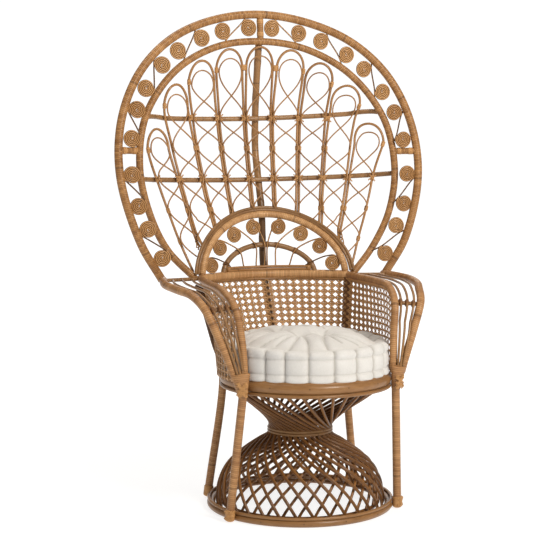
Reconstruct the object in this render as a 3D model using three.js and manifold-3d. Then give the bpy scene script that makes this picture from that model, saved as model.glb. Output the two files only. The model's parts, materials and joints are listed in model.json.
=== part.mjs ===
// A peacock chair: a rattan armchair on a twisted pedestal, with a wide fanned back and a loose cushion.
// Millimetres, +Z up, the sitter faces -Y. The origin is the bottom centre of the whole chair.
import * as THREE from 'three';
import { mergeVertices } from 'three/addons/utils/BufferGeometryUtils.js';
import Module from 'manifold-3d';

const wasm = await Module();
wasm.setup();
const turn = 2 * Math.PI;

// Air left where two pieces touch
const jointGap = 0.3;

// Floor ring: a pole, a thinner rod on top of it and a hoop inside that covers the ends of the twisted rods
const baseRadius = 278;
const basePole = 25;
const baseTopRod = 9.5;
const baseHoopPole = 12;
const baseHoopHeight = 16;

// Twisted pedestal: a funnel above the waist and a bell below it, with a second set of rods inside the bell
const twistRod = 9.5;
const twistCount = 32;
const twistLayerGap = 5.6;
const twistFloorGap = 7;
const waistRadius = 97;
const waistHeight = 231;
const waistBand = 8;
const waistWall = 13;
const twistBite = 3;
const funnelTurn = THREE.MathUtils.degToRad(52);
const bellTurn = THREE.MathUtils.degToRad(75);

// Seat ring and the open deck inside it
const seatRadius = baseRadius - basePole;
const seatTop = 416;
const seatRingHeight = 37;
const seatRingWall = 24;
const seatRingRound = 8;
const seatTrimRod = 11;
const seatForward = 49.5;
const deckSlat = 36;
const deckPitch = 72;
const deckThickness = 7;
const deckDrop = 5;
const deckBatten = 30;

// Legs: straight poles outside both rings, the front pair with a flared head that carries the arm
const legPole = 24;
const legFloorGap = 6;
const legFoot = 29;
const legFootHeight = 30;
const frontLegAtBase = THREE.MathUtils.degToRad(62.4);
const frontLegAtSeat = THREE.MathUtils.degToRad(60);
const rearLegAtBase = THREE.MathUtils.degToRad(124.6);
const headTop = 443;
const headBottom = 382;
const headHalfDepth = 16.5;

// Back: its plan is a dish that leans back as it rises and comes forward at its sides
const sillHeight = 664;
const sillBack = 336;
const sillHalf = 242;
const sillSweep = 103;
const sillPole = 24;
const sillBarRod = 8;
const sillBarHalf = 137;
const backRise = 823;
const backLean = 60;
const dishAtSill = 194;
const dishAtMiddle = 100;
const dishAtTop = 118;
const hoopHalf = 487;
const hoopPole = 27;
const hoopGap = 68;
const innerHoopHalf = hoopHalf - hoopGap;
const innerHoopPole = 23;
const innerHoopDrop = 85;
const hoopToe = 44;
const spacerPole = 21;
const spacerShare = 0.475;

// Scrolls in the gap between the hoops
const scrollRadius = 24.5;
const scrollForward = 14;
const scrollThickness = 5.6;
const scrollLink = 4.6;

// Fan: nine arches whose legs run down in pairs, a thin loop crossing in each and two rails behind
const cells = 9;
const fanPitchShare = 0.1916;
const fanSpanShare = 0.5;
const fanFootBack = 12;
const fanReach = 150;
const fanBulge = 42;
const lashShare = 0.117;
const lowerRailShare = 0.3682;
const archRod = 9.6;
const archRise = 62;
const archSpread = 5;
const loopRod = 5.4;
const loopDrop = 27;
const loopWidestDrop = 72;
const railPole = 15;
const lowerRailEnds = [5, 19];
const upperRailEnds = [-1, 23];
const postPole = 21;
const postBow = 12;
const edgeFootRise = 20;

// Half-round panel above the sill
const rimHalf = 235;
const rimRise = 190;
const rimPole = 22;
const edgingRod = 10;
const edgingFirst = 14.1;
const edgingPitch = 7.8;
const edgingBack = 2.8;
const rimFootRise = 8;
const smallArchHalf = 152;
const smallArchRise = 94;
const smallArchPole = 15;
const smallScroll = 45;
const smallScrolls = 4;
const smallScrollForward = 9;
const smallScrollFirst = THREE.MathUtils.degToRad(11.9);
const smallScrollStep = THREE.MathUtils.degToRad(21.7);
const spokeRod = 4.6;

// Arms
const armPole = 22;
const armOuterPole = 24;
const armSpindle = 7.5;
const armBar = 12;
const armHeadSpan = 36;
const armHeadBack = 13;
const armBack = 216;

// Woven wall round the seat
const caneThickness = 6;
const caneTuck = 5;
const caneColumns = 13;
const caneRows = 3;
const caneOverlap = 14;
const caneHoleShare = 0.8;
const caneFront = THREE.MathUtils.degToRad(69);

// Cushion
const cushionRadius = seatRadius - 8;
const cushionSide = 84;
const cushionCrown = 22;
const cushionPanels = 22;
const cushionTuck = 5;
const cushionDimple = 9;

// Facets
const ringSides = 30;
const poleSides = 8;
const ringPoleSides = 6;
const hoopSteps = 34;
const railSteps = 12;
const crossRailSteps = 20;

const honey = new THREE.MeshStandardMaterial({ color: 0xb98a57, roughness: 0.55, metalness: 0 });
const brown = new THREE.MeshStandardMaterial({ color: 0x8a5a35, roughness: 0.5, metalness: 0 });
const amber = new THREE.MeshStandardMaterial({ color: 0xc08a5a, roughness: 0.5, metalness: 0 });
const ecru = new THREE.MeshStandardMaterial({ color: 0xe9e4d9, roughness: 0.9, metalness: 0 });

const { lerp, smoothstep } = THREE.MathUtils;
const at = (x, y, z) => new THREE.Vector3(x, y, z);
const up = at(0, 0, 1);

// Turns a closed geometry into a solid, with its faces pointing outwards
function solidFrom(geometry) {
  const bare = geometry.clone();
  bare.deleteAttribute('normal');
  bare.deleteAttribute('uv');
  const merged = mergeVertices(bare);
  const points = merged.attributes.position.array;
  const faces = Uint32Array.from(merged.index.array);
  const a = at(0, 0, 0);
  const b = at(0, 0, 0);
  const c = at(0, 0, 0);
  let volume = 0;
  for (let k = 0; k < faces.length; k += 3) {
    a.fromArray(points, 3 * faces[k]);
    b.fromArray(points, 3 * faces[k + 1]);
    c.fromArray(points, 3 * faces[k + 2]);
    volume += a.dot(b.cross(c));
  }
  if (volume < 0) faces.reverse();
  const mesh = new wasm.Mesh({ numProp: 3, vertProperties: Float32Array.from(points), triVerts: faces });
  return new wasm.Manifold(mesh);
}

function geometryFrom(solid) {
  const mesh = solid.getMesh();
  const geometry = new THREE.BufferGeometry();
  geometry.setAttribute('position', new THREE.BufferAttribute(mesh.vertProperties, 3));
  geometry.setIndex(new THREE.BufferAttribute(mesh.triVerts, 1));
  geometry.computeVertexNormals();
  return geometry;
}

const joined = (solids) => solids.reduce((whole, solid) => whole.add(solid));
const trimmed = (solid, ...seats) => seats.reduce((rest, seat) => rest.subtract(seat), solid);

// A regular polygon that stands on a flat
function polygon(radius, sides) {
  const points = [];
  for (let k = 0; k < sides; k += 1) {
    const angle = ((k + 0.5) * turn) / sides;
    points.push(new THREE.Vector2(radius * Math.sin(angle), -radius * Math.cos(angle)));
  }
  return points;
}

// A route whose steps are shared out by its own parameter, so that bends get more of them than straights
class Route extends THREE.Curve {
  constructor(place) {
    super();
    this.place = place;
  }

  getPoint(share, target = at(0, 0, 0)) {
    return target.copy(this.place(share));
  }

  getUtoTmapping(share) {
    return share;
  }
}

const bend = (points) => new THREE.CatmullRomCurve3(points, false, 'centripetal');

// A round pole along a route. Its seat is the pole grown by the joint gap, which cuts the ends that meet it.
class Pole {
  constructor(route, diameter, sides, steps) {
    this.route = route;
    this.diameter = diameter;
    this.sides = sides;
    this.steps = steps;
    this.line = route.getSpacedPoints(steps);
  }

  grown(extra) {
    const radius = this.diameter / 2 + extra / Math.cos(Math.PI / this.sides);
    const section = new THREE.Shape(polygon(radius, this.sides));
    return solidFrom(new THREE.ExtrudeGeometry(section, { steps: this.steps, extrudePath: this.route }));
  }

  get body() {
    return this.grown(0);
  }

  get seat() {
    this.kept = this.kept ?? this.grown(jointGap);
    return this.kept;
  }

  // The nearest place on the middle line of the pole, as the facets run
  nearest(point) {
    const closest = at(0, 0, 0);
    const best = at(0, 0, 0);
    let least = Infinity;
    for (let k = 0; k < this.steps; k += 1) {
      new THREE.Line3(this.line[k], this.line[k + 1]).closestPointToPoint(point, true, closest);
      const distance = closest.distanceTo(point);
      if (distance < least) {
        least = distance;
        best.copy(closest);
      }
    }
    return best;
  }

  distance(point) {
    return this.nearest(point).distanceTo(point);
  }
}

// A ring turned round the upright axis from a closed profile of radius and height
function ring(profile, forward = 0) {
  const geometry = new THREE.LatheGeometry([...profile, profile[0]], ringSides);
  geometry.rotateX(Math.PI / 2);
  geometry.translate(0, -forward, 0);
  return solidFrom(geometry);
}

function roundRing(radius, height, pole, sides, forward) {
  const middle = new THREE.Vector2(radius, height);
  return ring(polygon(pole / 2, sides).map((point) => point.add(middle)), forward);
}

function chamferedRing(outside, wall, bottom, top, round, forward) {
  const inside = outside - wall;
  const profile = [
    [inside, bottom], [outside - round, bottom], [outside, bottom + round], [outside, top - round],
    [outside - round, top], [inside, top],
  ];
  return ring(profile.map(([radius, height]) => new THREE.Vector2(radius, height)), forward);
}

const chair = new THREE.Group();

function addPiece(name, solid, material, parent = chair) {
  const mesh = new THREE.Mesh(geometryFrom(solid), material);
  mesh.name = name;
  parent.add(mesh);
}

// Facets pull the inner side of a ring in by this share of its radius
const facetShare = Math.cos(Math.PI / ringSides);

// Floor ring
const ringFlat = Math.cos(Math.PI / ringPoleSides);
const baseRingHeight = basePole * ringFlat;
const baseMiddle = baseRingHeight / 2;
const baseRing = roundRing(baseRadius - basePole / 2, baseMiddle, basePole, ringPoleSides);
const rodFlat = Math.cos(Math.PI / 4);
const baseTopHeight = baseRingHeight + jointGap + (baseTopRod / 2) * rodFlat;
const baseTop = roundRing(baseRadius - baseTopRod / 2, baseTopHeight, baseTopRod, 4);
const baseRingSeat = joined([
  roundRing(baseRadius - basePole / 2, baseMiddle, basePole + 2 * jointGap / ringFlat, ringPoleSides),
  roundRing(baseRadius - baseTopRod / 2, baseTopHeight, baseTopRod + 2 * jointGap / rodFlat, 4),
]);
addPiece('base_ring', baseRing, brown);
addPiece('base_top_rod', baseTop, brown);

// Seat ring
const seatBottom = seatTop - seatRingHeight;
const seatRingSolid = (extra) =>
  chamferedRing(seatRadius + extra, seatRingWall + 2 * extra, seatBottom - extra, seatTop + extra,
    seatRingRound, seatForward);
const seatRing = seatRingSolid(0);
const seatRingSeat = seatRingSolid(jointGap);
const seatTrimHeight = seatBottom - jointGap - (seatTrimRod / 2) * rodFlat;
addPiece('seat_ring', seatRing, brown);
addPiece('seat_trim_rod',
  roundRing(seatRadius - seatTrimRod / 2, seatTrimHeight, seatTrimRod, 4, seatForward), brown);

// Seat deck: slats across the ring with battens under them, cut round to lie inside it
const deckRadius = (seatRadius - seatRingWall) * facetShare - jointGap;
const deckTop = seatTop - deckDrop;
function deckSlats() {
  const slats = [];
  const reach = Math.floor((deckRadius - deckSlat / 2) / deckPitch);
  const chord = (aside) => 2 * Math.sqrt(deckRadius ** 2 - aside ** 2);
  for (let k = -reach; k <= reach; k += 1) {
    const length = chord(Math.abs(k * deckPitch) + deckSlat / 2);
    const slat = new THREE.BoxGeometry(deckSlat, length, deckThickness);
    slat.translate(k * deckPitch, -seatForward, deckTop - deckThickness / 2);
    slats.push(solidFrom(slat));
  }
  for (const side of [-1, 1]) {
    const aside = deckRadius / 2;
    const batten = new THREE.BoxGeometry(chord(aside + deckBatten / 2), deckBatten, deckThickness);
    batten.translate(0, side * aside - seatForward, deckTop - deckThickness);
    slats.push(solidFrom(batten));
  }
  return joined(slats);
}
addPiece('seat_deck', deckSlats(), honey);

// Twisted pedestal. Shares of the way out from the waist and of the height, from the waist to each end.
const bellShares = [
  [0, 1], [0.05, 0.93], [0.26, 0.84], [0.51, 0.715], [0.76, 0.56], [0.91, 0.39], [0.985, 0.22], [1, 0.1], [1, 0],
];
const funnelShares = [
  [1, 1], [1, 0.95], [0.88, 0.84], [0.626, 0.626], [0.36, 0.425], [0.13, 0.24], [0.02, 0.1], [0, 0],
];
const waistRods = waistRadius - waistWall / 2;
const collarHalf = waistBand - twistBite;
const twistFootShare = 0.4;
const baseRods = (baseRadius - basePole) * facetShare - jointGap - twistRod * twistFootShare;
const seatRods = (seatRadius - seatTrimRod) * facetShare - jointGap - twistRod / 2;
const profileOf = (points) =>
  new THREE.SplineCurve(points.map(([radius, height]) => new THREE.Vector2(radius, height)));
const bellProfile = profileOf(bellShares.map(([out, height]) => [
  lerp(waistRods, baseRods, out), lerp(twistFloorGap, waistHeight - collarHalf, height)]));
const funnelProfile = profileOf(funnelShares.map(([out, height]) => [
  lerp(waistRods, seatRods, out), lerp(waistHeight + collarHalf, seatBottom - jointGap, height)]));
const funnelSteps = 3;
const bellSteps = 4;
const innerSteps = 4;
const innerFootShare = 0.955;
// The rods stand upright at the seat ring before they start to turn
const uprightShare = 0.02;

function twistPlace(profile, share, angle, inset = 0) {
  const { x: radius, y: height } = profile.getPointAt(share);
  const slope = profile.getTangentAt(share);
  const inward = new THREE.Vector2(slope.y, -slope.x).multiplyScalar(inset);
  const distance = radius + inward.x;
  const forward = seatForward * smoothstep(height, waistHeight, seatBottom);
  return at(distance * Math.sin(angle), -distance * Math.cos(angle) - forward, height + inward.y);
}

function funnelRod(start) {
  const route = new Route((share) =>
    twistPlace(funnelProfile, share, start + funnelTurn * Math.max(0, share - uprightShare)));
  return new Pole(route, twistRod, 4, funnelSteps).body;
}

function bellRod(start) {
  const route = new Route((share) => twistPlace(bellProfile, share, start + bellTurn * share));
  return new Pole(route, twistRod, 4, bellSteps).body;
}

function innerTwistRod(start) {
  const inset = twistRod + twistLayerGap;
  const route = new Route((share) =>
    twistPlace(bellProfile, share * innerFootShare, start - bellTurn * share, inset));
  return new Pole(route, twistRod, 3, innerSteps).body;
}

// The rods' ends go into the waist collar, and those of the inner rods into the hoop on the floor
const twistStarts = Array.from({ length: twistCount }, (_, k) => (k * turn) / twistCount);
const waistInside = waistRadius - waistWall;
const waistCollar = ring([
  [waistInside, waistHeight - waistBand], [waistRadius, waistHeight - waistBand],
  [waistRadius, waistHeight + waistBand], [waistInside, waistHeight + waistBand],
].map(([radius, height]) => new THREE.Vector2(radius, height)));
const funnelAtWaist = twistStarts.map((start) => start + funnelTurn * (1 - uprightShare));
addPiece('outer_twist',
  joined([waistCollar, ...twistStarts.map(funnelRod), ...funnelAtWaist.map(bellRod)]), brown);
const hoopAlong = baseRods - twistRod - twistLayerGap;
const [hoopInside, hoopOutside] = [hoopAlong - baseHoopPole / 2, hoopAlong + baseHoopPole / 2];
const [hoopBottom, hoopTop] = [baseHoopHeight - baseHoopPole / 2, baseHoopHeight + baseHoopPole / 2];
const baseHoop = ring([
  [hoopInside, hoopBottom], [hoopOutside, hoopBottom], [hoopOutside, hoopTop], [hoopInside, hoopTop],
].map(([radius, height]) => new THREE.Vector2(radius, height)));
addPiece('inner_twist', joined([baseHoop, ...twistStarts.map(innerTwistRod)]), brown);

// The back's surface, with its height as a share from the sill to the top of the outer hoop
function backSurface(x, z) {
  const rise = (z - sillHeight) / backRise;
  const dish = dishAtSill * (1 - rise) * (1 - 2 * rise) + 4 * dishAtMiddle * rise * (1 - rise)
    + dishAtTop * rise * (2 * rise - 1);
  return sillBack + backLean * rise - dish * (x / hoopHalf) ** 2;
}

function normalOf(surface, x, z) {
  const step = jointGap;
  const across = (surface(x + step, z) - surface(x - step, z)) / (2 * step);
  const upwards = (surface(x, z + step) - surface(x, z - step)) / (2 * step);
  return at(-across, 1, -upwards).normalize();
}
const backNormal = (x, z) => normalOf(backSurface, x, z);

// The half-round panel and the sill sweep forward more than the fan does
const panelSurface = (x, z) =>
  sillBack + backLean * (z - sillHeight) / backRise - sillSweep * (x / sillHalf) ** 2;
const onPanel = (x, z) => at(x, panelSurface(x, z), z);
const ellipseHeight = (x, half, rise) => sillHeight + rise * Math.sqrt(Math.max(0, 1 - (x / half) ** 2));

// The fan's feet come forward to the half-round's rim, and above them it bows back behind the inner hoop
const bulgeShares = { start: 0.14, peak: 0.59, end: 0.87, top: 0.25, edge: 0.16 };
const innerHoopMiddleShare = 0.41;
const innerHoopRiseShare = 0.487;
function fanSurface(x, z) {
  const above = z - ellipseHeight(x, rimHalf, rimRise);
  const behindRim = backSurface(x, z) - panelSurface(Math.min(Math.abs(x), rimHalf), z) - fanFootBack;
  const toe = Math.max(0, behindRim) * smoothstep(fanReach - above, 0, fanReach);
  const rise = (z - sillHeight) / backRise;
  const fromMiddle = Math.hypot(x / innerHoopHalf, (rise - innerHoopMiddleShare) / innerHoopRiseShare);
  const upwards = smoothstep(rise, bulgeShares.start, bulgeShares.peak);
  const onwards = 1 - (1 - bulgeShares.top) * smoothstep(rise, bulgeShares.peak, bulgeShares.end);
  const bulge = fanBulge * upwards * onwards * smoothstep(1 - fromMiddle, 0, bulgeShares.edge);
  return backSurface(x, z) - toe + bulge;
}
const onFan = (x, z, depth = 0) =>
  at(x, fanSurface(x, z), z).addScaledVector(normalOf(fanSurface, x, z), depth);

// Arms. The rails are tables of places on the right-hand side, and the left is its mirror image.
const ringContact = (radius, angle, reach, height, forward) => {
  const distance = radius + reach;
  return at(distance * Math.sin(angle), -distance * Math.cos(angle) - forward, height);
};
const legReach = jointGap + legPole / 2;
const footReach = (legFoot / 2) * Math.cos(Math.PI / poleSides);
const frontLegBase = ringContact(baseRadius, frontLegAtBase, footReach, baseMiddle, 0);
const seatMiddle = seatTop - seatRingHeight / 2;
const frontLegSeat = ringContact(seatRadius, frontLegAtSeat, legReach, seatMiddle, seatForward);
const onLine = (from, to, height) => from.clone().lerp(to, (height - from.z) / (to.z - from.z));
const headCentre = onLine(frontLegBase, frontLegSeat, headTop);
const sillEnd = onPanel(sillHalf, sillHeight);
const hoopFootShares = [0.749, 0];
const hoopFoot = hoopHalf * hoopFootShares[0];
const armReach = armBack - headCentre.y;
const armRise = sillHeight - headTop;
const armFlare = hoopFoot - sillEnd.x;

// Shares of the arm's reach back, its rise and its flare outwards from the head to the back
const innerRailShares = [
  [0.037, 0.02, 0], [0.06, 0.4, 0.04], [0.11, 0.76, 0.13], [0.3, 0.95, 0.24], [0.58, 0.985, 0.26],
  [0.84, 0.99, 0.2], [1.042, 1, 0.123],
];
const outerRailShares = [
  [0.042, 0.02, 0], [0.075, 0.4, 0.27], [0.135, 0.76, 0.54], [0.29, 0.915, 0.72], [0.44, 0.955, 0.89],
  [0.7, 0.985, 1], [0.98, 1, 0.84], [1.04, 1, 0.8],
];
const headOuter = headCentre.clone().add(at(armHeadSpan, armHeadBack, 0));
const railRoute = (shares, start, side) => bend(shares.map(([back, rise, flare]) =>
  at(side * (start.x + armFlare * flare), headCentre.y + armReach * back, headTop + armRise * rise)));

// Legs: a straight pole on a wider wrapped foot. The front pair ends in a flared head under the arm's rods.
function loft(from, to, halfWidth, halfDepth, across, grow) {
  const headSides = 10;
  const geometry = new THREE.CylinderGeometry(1, 1, 1, headSides);
  const spot = geometry.attributes.position;
  const depth = across.clone().cross(up).normalize();
  for (let k = 0; k < spot.count; k += 1) {
    const high = spot.getY(k) > 0;
    const wide = (high ? halfWidth : legPole / 2) + grow;
    const deep = (high ? halfDepth : legPole / 2) + grow;
    const centre = (high ? to : from).clone();
    centre.z += high ? grow : -grow;
    centre.addScaledVector(across, spot.getX(k) * wide).addScaledVector(depth, spot.getZ(k) * deep);
    spot.setXYZ(k, ...centre);
  }
  return solidFrom(geometry);
}
function wrappedLeg(route, steps) {
  const foot = route.getPoint(0);
  const above = foot.clone().addScaledVector(route.getTangent(0), legFootHeight);
  const wrapping = new Pole(bend([foot, above]), legFoot, poleSides, 1);
  return joined([new Pole(route, legPole, poleSides, steps).body, wrapping.body]);
}
function frontLeg(side) {
  const mirror = at(side, 1, 1);
  const [foot, top, start] = [legFloorGap, headBottom + legPole, headBottom].map((height) =>
    onLine(frontLegBase, frontLegSeat, height).multiply(mirror));
  const end = headCentre.clone().lerp(headOuter, 0.5).multiply(mirror);
  const across = headOuter.clone().sub(headCentre).normalize().multiply(mirror);
  const halfWidth = (armHeadSpan + armPole) / 2 + armSpindle / 2;
  const head = (grow) => loft(start, end, halfWidth, headHalfDepth, across, grow);
  return { side, body: joined([wrappedLeg(bend([foot, top]), 1), head(0)]), seat: head(jointGap) };
}
const frontLegs = [-1, 1].map(frontLeg);

function buildArm(side) {
  const inner = new Pole(railRoute(innerRailShares, headCentre, side), armPole, poleSides, railSteps);
  const outer = new Pole(railRoute(outerRailShares, headOuter, side), armOuterPole, poleSides, railSteps);
  return { side, inner, outer };
}
const arms = [-1, 1].map(buildArm);
const sideName = (side) => (side < 0 ? 'left' : 'right');

// Sill: one pole across the back between the arms, with a double rod lashed on top of it
const sill = new Pole(new Route((share) => {
  const x = lerp(-sillHalf, sillHalf, share);
  return onPanel(x, sillHeight);
}), sillPole, poleSides, 14);
const sillBarHeight = sillHeight + (sillPole * Math.cos(Math.PI / poleSides) + sillBarRod) / 2 - 2 * jointGap;
const sillBarAt = (depth) => new Pole(new Route((share) => {
  const x = lerp(-sillBarHalf, sillBarHalf, share);
  return onPanel(x, sillBarHeight).addScaledVector(backNormal(x, sillBarHeight), depth);
}), sillBarRod, 6, 8);
const sillBars = [-1, 1].map((side) => sillBarAt(side * (sillBarRod / 2 - jointGap)));
addPiece('back_sill', joined([sill.body, ...sillBars.map((bar) => bar.body)]), honey);

arms.forEach((arm, k) => {
  const name = sideName(arm.side);
  const head = frontLegs[k].seat;
  addPiece(`arm_outer_rail_${name}`, trimmed(arm.outer.body, head), honey);
  addPiece(`arm_inner_rail_${name}`, trimmed(arm.inner.body, head, sill.seat, arm.outer.seat), honey);
});

// Three spindles between the rails. They stand forward where the rails are too close for them.
const spindleNeed = (armPole + armSpindle) / 2 + jointGap;
function spindlePlace(arm, slot, share) {
  const inner = arm.inner.route.getPointAt(lerp(0, 1, share));
  const outer = arm.outer.route.getPointAt(lerp(0, 0.955, share));
  const between = outer.clone().sub(inner);
  const along = arm.inner.route.getTangentAt(share);
  const front = between.clone().cross(along).multiplyScalar(arm.side).normalize();
  const aside = between.length() / 4;
  const forward = Math.sqrt(Math.max(0, (spindleNeed + armOuterPole - armPole) ** 2 - aside ** 2));
  return inner.addScaledVector(between, slot / 4).addScaledVector(front, forward);
}

// The bars behind the spindles: one at the front bend, one from the sill's end to the outer hoop's foot
const frontBarShare = 0.36;
function armSpindles(arm) {
  const spindles = [1, 2, 3].map((slot) =>
    new Pole(new Route((share) => spindlePlace(arm, slot, share)), armSpindle, 4, 9));
  const innerEnd = arm.inner.route.getPointAt(frontBarShare);
  const outerEnd = arm.outer.route.getPointAt(frontBarShare);
  const middle = spindlePlace(arm, 2, frontBarShare);
  const below = innerEnd.clone().add(outerEnd).multiplyScalar(0.5).sub(middle);
  const along = arm.inner.route.getTangentAt(frontBarShare);
  const inwards = outerEnd.clone().sub(innerEnd).cross(along).multiplyScalar(-arm.side).normalize();
  const set = (armSpindle + armBar) / 2 - jointGap;
  const drop = inwards.clone().multiplyScalar(set - below.dot(inwards));
  const frontBar = new Pole(bend([innerEnd.clone().add(drop), outerEnd.clone().add(drop)]), armBar, 6, 3);
  return { spindles, frontBar };
}
const rearBars = arms.map((arm) => {
  const inside = sillEnd.clone().multiply(at(arm.side, 1, 1));
  const outside = arm.outer.route.getPointAt(0.955);
  return new Pole(bend([inside, outside]), armBar, 6, 3);
});
const spindleSets = arms.map(armSpindles);
arms.forEach((arm, k) => {
  const { spindles, frontBar } = spindleSets[k];
  const whole = joined([...spindles.map((spindle) => spindle.body), frontBar.body, rearBars[k].body]);
  addPiece(`arm_spindles_${sideName(arm.side)}`,
    trimmed(whole, frontLegs[k].seat, sill.seat, arm.outer.seat, arm.inner.seat), brown);
});

// Hoops. Shares of the half width and of the height above the sill, from the top down to the foot.
const outerHoopShares = [
  [0, 1], [0.336, 0.97], [0.62, 0.893], [0.838, 0.766], [0.972, 0.591], [1, 0.384], [0.889, 0.141], hoopFootShares,
];
const innerHoopShares = [
  [0, 1], [0.354, 0.971], [0.692, 0.863], [0.936, 0.673], [1, 0.456], [0.938, 0.269], [0.808, 0.119], [0.615, 0],
];
function hoopRoute(shares, half, top, toe) {
  const side = shares.map(([out, high], k) => {
    const x = half * out;
    const z = lerp(sillHeight, top, high);
    const forward = k === shares.length - 1 ? toe : 0;
    return at(x, backSurface(x, z) - forward, z);
  });
  const mirrored = side.slice(1).reverse().map((point) => point.clone().multiply(at(-1, 1, 1)));
  return bend([...mirrored, ...side]);
}
const outerHoopRoute = hoopRoute(outerHoopShares, hoopHalf, sillHeight + backRise, 0);
const outerHoop = new Pole(outerHoopRoute, hoopPole, poleSides, hoopSteps);
const innerHoopTop = sillHeight + backRise - innerHoopDrop;
const innerHoopRoute = hoopRoute(innerHoopShares, innerHoopHalf, innerHoopTop, hoopToe);
const innerHoop = new Pole(innerHoopRoute, innerHoopPole, poleSides, hoopSteps);
const outerRailSeats = arms.map((arm) => arm.outer.seat);
const innerRailSeats = arms.map((arm) => arm.inner.seat);
const rearBarSeats = rearBars.map((bar) => bar.seat);
const spindleSeats = spindleSets.flatMap((set) => set.spindles.map((spindle) => spindle.seat));
const frontBarSeats = spindleSets.map((set) => set.frontBar.seat);
addPiece('outer_hoop', trimmed(outerHoop.body, ...outerRailSeats, ...rearBarSeats), honey);
addPiece('inner_hoop',
  trimmed(innerHoop.body, ...innerRailSeats, ...rearBarSeats, ...spindleSeats, sill.seat), honey);

// The gap between the hoops, as a share of the way from the top centre down to a foot
function gapPlace(share, side) {
  const along = 0.5 + (side * share) / 2;
  return { outside: outerHoop.route.getPointAt(along), inside: innerHoop.route.getPointAt(along) };
}

// Where a hoop passes a height on one side, counted from its foot up to its widest place
function hoopAtHeight(hoop, height, side) {
  const line = side < 0 ? hoop.line : hoop.line.slice().reverse();
  const k = line.findIndex((point) => point.z > height);
  return onLine(line[k - 1], line[k], height);
}
const spacerHeight = sillHeight + spacerShare * backRise;
const spacerEnds = [-1, 1].map((side) => [sideName(side), ...[innerHoop, outerHoop].map((hoop) =>
  hoopAtHeight(hoop, spacerHeight, side))]);
const topEnds = gapPlace(0, 1);
for (const [name, inside, outside] of [['top', topEnds.inside, topEnds.outside], ...spacerEnds]) {
  const spacer = new Pole(bend([inside, outside]), spacerPole, poleSides, 2);
  addPiece(`hoop_spacer_${name}`, trimmed(spacer.body, outerHoop.seat, innerHoop.seat), honey);
}

// Scrolls face the front in the gap, in pairs. A straight link touches the outer side of one and the inner
// side of the next, and its two ends run on to the hoops. The lower scrolls stand forward.
const scrollShares = [
  [{ down: 0.036, across: 0.5 }, { down: 0.115, across: 0.48 }],
  [{ down: 0.186, across: 0.51 }, { down: 0.269, across: 0.485 }],
  [{ down: 0.336, across: 0.51 }, { down: 0.42, across: 0.515 }],
  [{ down: 0.489, across: 0.54 }, { down: 0.571, across: 0.545 }],
  [{ down: 0.674, across: 0.55 }, { down: 0.7625, across: 0.515 }],
  [{ down: 0.829, across: 0.575 }, { down: 0.9225, across: 0.475 }],
];
const forwardShares = { from: 0.4, to: 0.6 };
const scrollFacing = at(0, -1, 0);
function scrollSeat({ down, across }, side) {
  const { outside, inside } = gapPlace(down, side);
  const outwards = outside.clone().sub(inside).projectOnPlane(scrollFacing).normalize();
  const forward = scrollForward * smoothstep(down, forwardShares.from, forwardShares.to);
  return { centre: outside.clone().lerp(inside, across).addScaledVector(scrollFacing, forward), outwards };
}
function scrollLinkRoute(upper, lower) {
  const reach = scrollRadius - scrollLink / 2;
  const apart = lower.centre.clone().sub(upper.centre).projectOnPlane(scrollFacing);
  const lean = (2 * reach) / apart.length();
  const along = apart.clone().normalize();
  const aside = upper.outwards.clone().projectOnPlane(along).normalize();
  const away = along.multiplyScalar(lean).addScaledVector(aside, Math.sqrt(1 - lean ** 2));
  const from = upper.centre.clone().addScaledVector(away, reach);
  const to = lower.centre.clone().addScaledVector(away, -reach);
  const onwards = to.clone().sub(from).normalize();
  const start = outerHoop.nearest(from.clone().addScaledVector(onwards, -reach));
  const end = innerHoop.nearest(to.clone().addScaledVector(onwards, reach));
  return bend([start, from, to, end]);
}
const discSides = 10;
function disc(centre, facing, towards, radius) {
  const geometry = new THREE.CylinderGeometry(radius, radius, scrollThickness, discSides);
  geometry.applyMatrix4(new THREE.Matrix4().makeBasis(facing.clone().cross(towards), facing, towards));
  geometry.translate(...centre);
  return solidFrom(geometry);
}
for (const side of [-1, 1]) {
  scrollShares.forEach((shares, k) => {
    const [upper, lower] = shares.map((place) => scrollSeat(place, side));
    const scroll = joined([
      disc(upper.centre, scrollFacing, upper.outwards, scrollRadius),
      disc(lower.centre, scrollFacing, lower.outwards, scrollRadius),
      new Pole(scrollLinkRoute(upper, lower), scrollLink, 4, 5).body,
    ]);
    const seated = trimmed(scroll, outerHoop.seat, innerHoop.seat);
    addPiece(`hoop_scroll_${sideName(side)}_${k + 1}`, seated, amber);
  });
}

// Half-round panel: a rim on the sill with two edging rods round it
const rimRoute = (half, rise, depth = 0) => new Route((share) => {
  const angle = lerp(-Math.PI / 2, Math.PI / 2, share);
  const x = half * Math.sin(angle);
  const z = sillHeight + rise * Math.cos(angle);
  return onPanel(x, z).addScaledVector(backNormal(x, z), depth);
});
const rimSteps = 14;
const rim = new Pole(rimRoute(rimHalf, rimRise), rimPole, poleSides, rimSteps);
const edgings = [edgingFirst, edgingFirst + edgingPitch].map((out, k) =>
  new Pole(rimRoute(rimHalf + out, rimRise + out, (k + 1) * edgingBack), edgingRod, 6, rimSteps));
function rimFootCut() {
  const block = new THREE.BoxGeometry(2 * hoopHalf, 2 * sillBack, sillPole);
  block.translate(0, sillBack, sillHeight + rimFootRise - sillPole / 2);
  return solidFrom(block);
}
addPiece('half_round_rim', trimmed(joined([rim.body, ...edgings.map((edging) => edging.body)]), rimFootCut(),
  sill.seat, innerHoop.seat, ...innerRailSeats, ...rearBarSeats), honey);

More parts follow.
